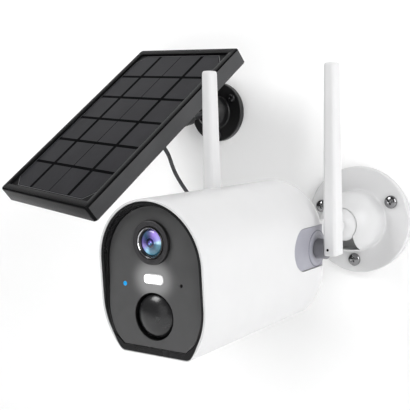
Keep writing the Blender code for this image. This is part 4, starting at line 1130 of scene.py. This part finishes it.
# bracket: plate with screws, eye round the pin
bm = bmesh.new()
loft(bm, [[PM @ Vector((x - 1.5, y + 10.0, z)) for x, y in round_rect(15.0 - 2 * i, 46.0 - 2 * i, 4.0 - i)]
          for z, i in ((-12.6, 0.0), (-14.9, 0.0), (-15.12, 0.1), (-15.2, 0.3))])
br = mesh_object("bracket_plate", bm, MOUNTP)
eye = []
for k in range(33):
    t = math.radians(180 + 180 * k / 32)
    eye.append((5.6 * math.cos(t), 5.6 * math.sin(t)))
eye += [(5.6, 7.4), (-5.6, 7.4)]
bm = bmesh.new()
loft(bm, [[PM @ (Vector((x, y, z)) + PIN_LOCAL) for y, z in eye] for x in (-3.9, 3.9)])
carve(br, [mesh_object("c_eye", bm, None)], "UNION")
carve(br, [tool("c_eyehole", [(0, -10), (2.3, -10), (2.3, 10), (0, 10)], PM @ Matrix.Translation(PIN_LOCAL) @ TO_X, 40)])
soften(br, 0.25, 2, 50)
shade(br, 35, weighted=True)
bits = [br]
for sy in (-1, 1):
    m = PM @ at(-1.5, 10.0 + sy * 17.5, 0) @ Matrix.Rotation(math.pi, 4, "X")
    bits.append(turned("brs%d" % sy, rounded([(0, 15.0), (2.7, 15.0), (2.6, 15.9), (1.6, 16.4), (0.9, 16.4), (0.7, 15.8), (0, 15.8)], 0.12, 2),
                       BLKSTEEL, m, 40))
put(join(bits, "bracket_with_eye"), "panel", "panel_bracket")

# arm with fork
bm = bmesh.new()
lathe(bm, rounded([(0, 28.0), (3.0, 28.0), (3.0, 20.5), (4.6, 20.5), (5.4, 21.4), (5.6, ARM_LEN - 13.0), (4.2, ARM_LEN - 8.6),
                   (0, ARM_LEN - 8.6)], [0, 0, 0.4, 0.6, 1.2, 0.8], 4), 64, AM @ AWAY)
arm = mesh_object("panel_arm_fork", bm, MOUNTP)
adds = []
for s in (-1, 1):
    cheek = [(-ARM_LEN + 14.0, -5.2), (-ARM_LEN + 14.0, 5.2)]
    for k in range(33):
        t = math.radians(90 + 180 * k / 32)
        cheek.append((-ARM_LEN + 5.2 * math.cos(t), 5.2 * math.sin(t)))
    bm = bmesh.new()
    loft(bm, [[AM @ Vector((s * x, y, z)) for y, z in cheek] for x in (4.3, 7.4)])
    adds.append(mesh_object("a_cheek%d" % s, bm, None))
bm = bmesh.new()
box(bm, (-7.4, -ARM_LEN + 7.4, -5.2), (7.4, -ARM_LEN + 13.5, 5.2), AM)
adds.append(mesh_object("a_yoke", bm, None))
carve(arm, adds, "UNION")
carve(arm, [tool("c_fork", [(0, -12), (2.3, -12), (2.3, 12), (0, 12)], AM @ at(0, -ARM_LEN, 0, TO_X), 40)])
soften(arm, 0.3, 2, 50)
shade(arm, 35, weighted=True)
put(arm, "arm", "panel_arm")

# hinge bolt with a hexagon socket, and its six-lobed knob
m = AM @ at(0, -ARM_LEN, 0, TO_X)
bolt = turned("bolt", rounded([(0, 11.0), (3.5, 11.0), (4.0, 10.4), (4.0, 7.8), (2.0, 7.8), (2.0, -13.5), (0, -13.5)], [0.3, 0.3, 0.2, 0, 0.3], 3),
              STEEL, m, 64)
bm = bmesh.new()
loft(bm, [[m @ Vector((1.9 * math.cos(math.radians(60 * k)), 1.9 * math.sin(math.radians(60 * k)), t)) for k in range(6)]
          for t in (9.2, 12.0)])
carve(bolt, [mesh_object("c_hex", bm, None)])
shade(bolt, 35)
put(bolt, "arm", "hinge_bolt")
bm = bmesh.new()
rows = []
for x, inset in ((-7.8, 0.7), (-8.1, 0.2), (-8.5, 0.0), (-12.2, 0.0), (-12.7, 0.25), (-13.0, 0.8)):
    row = []
    for k in range(96):
        t = 2 * math.pi * k / 96
        r = 6.5 + 0.8 * math.cos(6 * t) - inset
        row.append(AM @ Vector((x, r * math.cos(t) - ARM_LEN, r * math.sin(t))))
    rows.append(row)
for x in (-13.0, -7.8):
    rows.append([AM @ Vector((x, 2.3 * math.cos(2 * math.pi * k / 96) - ARM_LEN, 2.3 * math.sin(2 * math.pi * k / 96))) for k in range(96)])
loft(bm, rows, closed=True)
knob = mesh_object("knob_lobed", bm, MOUNTP)
shade(knob, 50)
put(knob, "knob", "hinge_knob")
put(turned("panel_stud", stud(6.5, 2.6, 27.4), BLKSTEEL, AM @ AWAY, 64), "panel_ball", "panel_ball_stud")

# panel wall base
pb = at(pball.x, 0, pball.z)
pbase = turned("panel_wall_base", socket(24.0, 5.0, 13.0, 9.0, 8.54, 6.25, 15.4, PBALL_T, 8.2, 14.2, None, 0.8, 14), MOUNTP, pb @ AWAY, 96)
cutters = []
PS = (35.0, 155.0, 275.0)
for n, deg in enumerate(PS, 1):
    x = pball.x + 19.0 * math.cos(math.radians(deg))
    z = pball.z + 19.0 * math.sin(math.radians(deg))
    cutters.append(tool("c_ps%d" % n, [(0, -2), (1.9, -2), (1.9, 10), (0, 10)], at(x, 0, z, AWAY), 32))
carve(pbase, cutters)
shade(pbase, 35, weighted=True)
put(pbase, "root", "panel_base")
for n, deg in enumerate(PS, 1):
    x = pball.x + 19.0 * math.cos(math.radians(deg))
    z = pball.z + 19.0 * math.sin(math.radians(deg))
    put(cross_screw("panel_screw_%d" % n, x, z, 3.2, 5.3, 1.8, 1.5, BLKSTEEL), "root", "panel_base_screw_%d" % n)
prof = []
for k in range(11):
    a = math.radians(-90 + 70 * k / 10)
    prof.append((7.9 * math.cos(a), 13.0 + 7.9 * math.sin(a)))
prof[0] = (0, prof[0][1])
for k in range(10, -1, -1):
    a = math.radians(-90 + 70 * k / 10)
    prof.append((6.8 * math.cos(a), 13.0 + 6.8 * math.sin(a)))
prof[-1] = (0, prof[-1][1])
put(turned("panel_ball_liner", prof, NYL, pb @ AWAY, 64), "panel_swivel", "panel_cup")


# ------------------------------------------------------------------ lead
def catmull(points):
    """Fine points on a smooth curve through the route's own points."""
    p = [Vector(q) for q in points]
    p = [p[0] * 2 - p[1]] + p + [p[-1] * 2 - p[-2]]
    fine = []
    for i in range(1, len(p) - 2):
        a, b, c, d = p[i - 1:i + 3]
        t0 = 0.0
        t1 = t0 + math.sqrt((b - a).length)
        t2 = t1 + math.sqrt((c - b).length)
        t3 = t2 + math.sqrt((d - c).length)
        for k in range(40):
            t = t1 + (t2 - t1) * k / 40
            a1 = a * ((t1 - t) / (t1 - t0)) + b * ((t - t0) / (t1 - t0))
            a2 = b * ((t2 - t) / (t2 - t1)) + c * ((t - t1) / (t2 - t1))
            a3 = c * ((t3 - t) / (t3 - t2)) + d * ((t - t2) / (t3 - t2))
            b1 = a1 * ((t2 - t) / (t2 - t0)) + a2 * ((t - t0) / (t2 - t0))
            b2 = a2 * ((t3 - t) / (t3 - t1)) + a3 * ((t - t1) / (t3 - t1))
            fine.append(b1 * ((t2 - t) / (t2 - t1)) + b2 * ((t - t1) / (t2 - t1)))
    fine.append(p[-2])
    return fine


def spread(fine, cuts, step):
    """Split a fine curve at lengths cuts, each part sampled about every step."""
    far = [0.0]
    for a, b in zip(fine, fine[1:]):
        far.append(far[-1] + (b - a).length)

    def point(want):
        j = 0
        while j < len(far) - 2 and far[j + 1] < want:
            j += 1
        f = (want - far[j]) / max(far[j + 1] - far[j], 1e-9)
        return fine[j].lerp(fine[j + 1], min(max(f, 0), 1))
    marks = [0.0] + list(cuts) + [far[-1]]
    parts = []
    for a, b in zip(marks, marks[1:]):
        n = max(2, round((b - a) / step))
        parts.append([point(a + (b - a) * k / n) for k in range(n + 1)])
    return parts, far[-1]


def tube(name, pts, radius, segs=16, before=None, after=None, caps=(True, True)):
    """Round tube along the points, with frames carried along the curve."""
    n = len(pts)
    tang = []
    for i in range(n):
        a = pts[i - 1] if i > 0 else (before if before is not None else pts[0] * 2 - pts[1])
        b = pts[i + 1] if i < n - 1 else (after if after is not None else pts[-1] * 2 - pts[-2])
        tang.append((b - a).normalized())
    ref = Vector((0.13, 0.2, 0.97))
    bm = bmesh.new()
    rows = []
    for p, t in zip(pts, tang):
        u = (ref - t * ref.dot(t)).normalized()
        v = t.cross(u)
        ref = u
        rows.append([bm.verts.new(p + (u * math.cos(2 * math.pi * k / segs) + v * math.sin(2 * math.pi * k / segs)) * radius)
                     for k in range(segs)])
    for a, b in zip(rows, rows[1:]):
        for i in range(segs):
            j = (i + 1) % segs
            bm.faces.new((a[i], a[j], b[j], b[i]))
    if caps[0]:
        bm.faces.new(rows[0])
    if caps[1]:
        bm.faces.new(rows[-1])
    ob = mesh_object(name, bm, JACKET)
    ob.data.shade_smooth()
    ob.data.set_sharp_from_angle(angle=math.radians(60))
    return ob


R = LEAD_D / 2
cx, cy, cz = COIL_C
out_r, in_r = COIL_MID_R + 6.2, COIL_MID_R - 6.2
gland_out = PM @ Vector((GLAND[0], GLAND[1], -34.4))
off = turn @ Vector((0, 0, -1))
UPPER = [gland_out, gland_out + off * 5.4, (-124.3, -62.5, 36.7), (-125.0, -49.0, 22.6), (-123.5, -33.0, 6.0), (-120.2, -22.5, -10.0),
         (cx - COIL_MID_R - 6.0 + 0.05 - 1.6, cy - 7.5, -26.0), (cx - out_r + R, cy - 7.5, cz)]
fine_up = catmull(UPPER)
LOWER = [(cx, cy + 7.5, cz - out_r + R), (cx + 9.0, cy + 5.6, cz - out_r + R - 0.9), (cx + 22.0, cy - 3.0, -64.2), (-53.0, -22.0, -63.0),
         (-33.0, -38.0, -53.0),
         (-19.0, -51.0, -38.5), (-9.0, -62.5, -25.0), (-2.6, -70.5, PORT_Z - 1.0), (-0.3, -75.0, PORT_Z - 0.1), (0.0, -79.2, PORT_Z)]
fine_lo = catmull(LOWER)


def total(fine):
    return sum((b - a).length for a, b in zip(fine, fine[1:]))


LU, LL = total(fine_up), total(fine_lo)


def lead_run(name, fine, cuts, bodies, exit_first):
    """Cut the run into pieces and make a round tube of each, one per pair of bodies listed."""
    parts, whole = spread(fine, cuts, 2.6)
    made = []
    for k, (pts, (a, b)) in enumerate(zip(parts, bodies)):
        before = parts[k - 1][-2] if k else None
        after = parts[k + 1][1] if k < len(parts) - 1 else None
        ob = tube("%s_%d" % (name, k + 1), pts, R, 16, before, after)
        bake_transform(ob)
        made.append(ob)
    return made


up_parts = lead_run("lead_upper", fine_up, (LU * 0.25, LU * 0.5, LU * 0.75),
                    (("panel", "arm"), ("arm", "panel_ball"), ("panel_ball", "panel_swivel"), ("panel_swivel", "root")), None)
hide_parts("lead_upper")
lo_parts = lead_run("lead_lower", fine_lo, (LL - 68.0, LL - 32.0),
                    (("root", "camera_swivel"), ("camera_swivel", "camera_ball"), ("camera_ball", "camera")), None)
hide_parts("lead_lower")

# coil: rows of four turns lie side by side, out to in and back, a diameter apart
layers = [out_r - R - LEAD_D * k for k in range(4)]
order = []
for j in range(6):
    lay = layers if j % 2 == 0 else layers[::-1]
    order += [(r, cy - 7.5 + LEAD_D * j) for r in lay]
TURNS, STEPS = 23.25, 28
pts = []
count = int(TURNS * STEPS)
for i in range(count + 1):
    f = i / count * TURNS
    k = min(int(f), len(order) - 1)
    u = f - k
    r0, y0_ = order[k]
    r1, y1_ = order[min(k + 1, len(order) - 1)]
    w = max(0.0, (u - 0.72) / 0.28)
    w = w * w * (3 - 2 * w)
    r, y = r0 + (r1 - r0) * w, y0_ + (y1_ - y0_) * w
    if y1_ != y0_:
        r += (1.25 if r0 > COIL_MID_R else -1.25) * math.sin(math.pi * w)
    # hand-wound: the turns are not quite true
    r += 0.10 * math.sin(2.3 * f + 1.1 * math.sin(0.9 * f))
    a = math.pi + f * 2 * math.pi
    pts.append(Vector((cx + r * math.cos(a), y, cz + r * math.sin(a))))
pts[0], pts[-1] = Vector(UPPER[-1]), Vector(LOWER[0])
coil = tube("lead_coil_wound", pts, R * 0.985, 12, None, None)
put(coil, "root", "lead_coil")

# tie: a soft strap round the right side of the coil, with a small lock block
mid = cx + COIL_MID_R + 0.2
hh, ww = 6.2 + 0.35, 9.2 + 0.35
bm = bmesh.new()
rim_o = round_rect(2 * (hh + 1.1), 2 * (ww + 1.1), 3.4, 8)
rim_i = round_rect(2 * hh, 2 * ww, 2.5, 8)
loft(bm, [[(mid + x * k, cy + y * q, cz + z) for x, y in rim_o] for z, k, q in ((-1.7, 0.975, 0.98), (-2.0, 0.96, 0.965))][::-1]
     + [[(mid + x, cy + y, cz + z) for x, y in rim_o] for z in (-1.4, 1.4)]
     + [[(mid + x * 0.975, cy + y * 0.98, cz + z) for x, y in rim_o] for z in (1.75,)]
     + [[(mid + x, cy + y, cz + z) for x, y in rim_i] for z in (2.0, -2.0)], closed=True)
tie = mesh_object("tie_band", bm, BLACKP)
shade(tie, 50)
bm = bmesh.new()
loft(bm, [[(mid + hh + 1.0 + x, cy + y - 2.0, cz + z) for x, y in round_rect(3.0 - 2 * i, 5.6 - 2 * i, 0.9 - 0.6 * i, 5)]
          for z, i in ((-2.6, 0.35), (-2.3, 0.0), (2.3, 0.0), (2.6, 0.35))])
lock_ = mesh_object("tie_lock", bm, BLACKP)
shade(lock_, 50)
put(join([tie, lock_], "coil_tie_strap"), "root", "coil_tie")

# plug with a moulded grip and a ribbed strain relief
rows = []


def oblong(w, h, r, y):
    return [(x, y, z + PORT_Z) for x, z in round_rect(w, h, r, 8)]


rows += [oblong(7.6, 2.2, 0.9, -119.3 - 10.3), oblong(8.2, 2.6, 1.2, -129.2), oblong(8.2, 2.6, 1.2, -119.3), oblong(10.2, 5.2, 1.9, -119.3),
         oblong(11.4, 6.4, 2.2, -119.1), oblong(12.0, 7.0, 2.4, -118.4)]
for k in range(4):
    y = -116.0 + 2.4 * k
    rows += [oblong(12.0, 7.0, 2.4, y), oblong(11.4, 6.4, 2.2, y + 0.15), oblong(11.4, 6.4, 2.2, y + 1.0), oblong(12.0, 7.0, 2.4, y + 1.15)]
rows += [oblong(12.0, 7.0, 2.4, -105.0), oblong(10.6, 6.8, 2.6, -103.0), oblong(7.6, 6.2, 2.7, -101.0), oblong(6.0, 6.0, 2.7, -99.5)]
for k in range(8):
    y = -99.2 + 2.5 * k
    q = 5.7 - 1.7 * k / 8
    rows += [oblong(q, q, q * 0.46, y), oblong(q - 0.08, q - 0.08, q * 0.45, y + 1.2), oblong(q - 0.85, q - 0.85, q * 0.38, y + 1.35),
             oblong(q - 0.95, q - 0.95, q * 0.38, y + 2.35)]
rows += [oblong(3.9, 3.9, 1.8, -79.1), oblong(3.6, 3.6, 1.7, -78.9)]
bm = bmesh.new()
loft(bm, rows)
plug = mesh_object("plug_moulding", bm, RELIEF)
shade(plug, 40)
put(plug, "camera", "lead_plug")

# wall hook the coil hangs on
hz = cz + in_r - 0.85
hook = [(0.0, hz - 13.0), (0.0, hz + 8.0), (-1.2, hz + 8.0), (-1.2, hz), (-21.6, hz), (-23.0, hz + 3.0),
        (-24.6, hz + 3.0), (-24.6, hz - 2.6), (-2.2, hz - 2.6), (-2.2, hz - 13.0)]
bm = bmesh.new()
loft(bm, [[(cx + x, y, z) for y, z in hook] for x in (-3.0, 3.0)])
hk = mesh_object("coil_hook", bm, WHITE_ARM)
soften(hk, 0.45, 3, 40)
shade(hk, 40, weighted=True)
put(hk, "root", "lead_hook")

# ------------------------------------------------------------------ hidden and remaining CAD nodes: materials
LOOKS = {"sensor_board": None, "light_board": None, "main_board": None, "pir_sensor": STEEL, "battery_cell_left": None,
         "battery_cell_right": None, "battery_cradle": BLACKP, "speaker": BLACKP, "charge_port": STEEL, "threaded_insert": BRASS,
         "antenna_pin_left": STEEL, "antenna_pin_right": STEEL}
BOARD = plastic("Circuit board", (0.015, 0.14, 0.055), 0.42, coat=0.3, grain_scale=900, grain_strength=0.2, tone=0.12)
CELLW = plastic("Cell wrap", (0.04, 0.19, 0.40), 0.30, coat=0.4)
for name, mat in LOOKS.items():
    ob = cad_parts[name]
    m = mat or (CELLW if "cell" in name else BOARD)
    if len(ob.material_slots):
        for sl in ob.material_slots:
            sl.link = "DATA"
            sl.material = m
    else:
        ob.data.materials.append(m)

# ------------------------------------------------------------------ stage
def one_sided(name, rgb, rough):
    """Pale surface seen from its front only, so that views from behind stay open."""
    m, nt, b = principled(name, rgb, rough, spec=0.2)
    b.inputs["Emission Color"].default_value = (1, 1, 1, 1)
    b.inputs["Emission Strength"].default_value = 0.055
    vec = coords(nt)
    link(nt, ramp(nt, noise(nt, vec, 6.0, 3.0), [(0.3, tuple(c * 0.99 for c in rgb)), (0.7, rgb)]), b.inputs["Base Color"])
    out = nt.nodes["Material Output"]
    geo = nt.nodes.new("ShaderNodeNewGeometry")
    clear = nt.nodes.new("ShaderNodeBsdfTransparent")
    mix = nt.nodes.new("ShaderNodeMixShader")
    link(nt, geo.outputs["Backfacing"], mix.inputs["Fac"])
    link(nt, b.outputs["BSDF"], mix.inputs[1])
    link(nt, clear.outputs["BSDF"], mix.inputs[2])
    link(nt, mix.outputs["Shader"], out.inputs["Surface"])
    return m


PAPER = one_sided("Pale paper", (0.96, 0.96, 0.96), 0.85)


def plane(name, corners, mat):
    me = bpy.data.meshes.new(name)
    me.from_pydata([tuple(c) for c in corners], [], [tuple(range(len(corners)))])
    me.materials.append(mat)
    ob = bpy.data.objects.new(name, me)
    COLL.objects.link(ob)
    return ob


wall = plane("stage_wall", [(-3, 0.0006, -0.32), (3, 0.0006, -0.32), (3, 0.0006, 3), (-3, 0.0006, 3)], PAPER)
floor = plane("stage_floor", [(-3, -3, -0.32), (3, -3, -0.32), (3, 0.0006, -0.32), (-3, 0.0006, -0.32)], PAPER)

# ------------------------------------------------------------------ light
world = bpy.data.worlds.new("Studio")
bpy.context.scene.world = world
world.use_nodes = True
bg = world.node_tree.nodes["Background"]
bg.inputs["Color"].default_value = (1.0, 1.0, 1.0, 1.0)
bg.inputs["Strength"].default_value = 0.13


def area(name, loc, target, size, power, shape="RECTANGLE", size_y=None, rgb=(1, 1, 1)):
    la = bpy.data.lights.new(name, "AREA")
    la.shape = shape
    la.size = size
    la.size_y = size_y or size
    la.energy = power
    la.color = rgb
    ob = bpy.data.objects.new(name, la)
    COLL.objects.link(ob)
    ob.location = loc
    ob.rotation_mode = "QUATERNION"
    ob.rotation_quaternion = (Vector(target) - Vector(loc)).to_track_quat("-Z", "Y")
    return ob


area("key", (-0.75, -1.15, 1.05), (0, -0.12, 0.02), 0.7, 14.6)
area("side", (1.45, -0.75, 0.55), (0, -0.12, 0.02), 0.9, 18.6, size_y=1.3)
area("front", (0.1, -1.9, 0.2), (0, -0.2, 0.0), 1.1, 2.5)
area("back", (-0.45, 1.2, 0.0), (-0.05, -0.1, 0.02), 1.0, 6.0)

# ------------------------------------------------------------------ camera
cam = bpy.data.cameras.new("Camera")
cam.lens = 69.0
cam.sensor_width = 36.0
cam.sensor_fit = "HORIZONTAL"
cam.clip_start, cam.clip_end = 0.01, 50.0
cob = bpy.data.objects.new("Camera", cam)
COLL.objects.link(cob)
right = Vector((0.82333, 0.56703, -0.02476))
down = Vector((0.03856, -0.09941, -0.9943))
fwd = Vector((-0.56626, 0.81768, -0.10371))
m = Matrix((right, -down, -fwd)).transposed().to_4x4()
m.translation = (0.23609, -0.54380, 0.07394)
cob.matrix_world = m
bpy.context.scene.camera = cob
bpy.context.scene.view_settings.view_transform = "Standard"
bpy.context.scene.view_settings.look = "None"
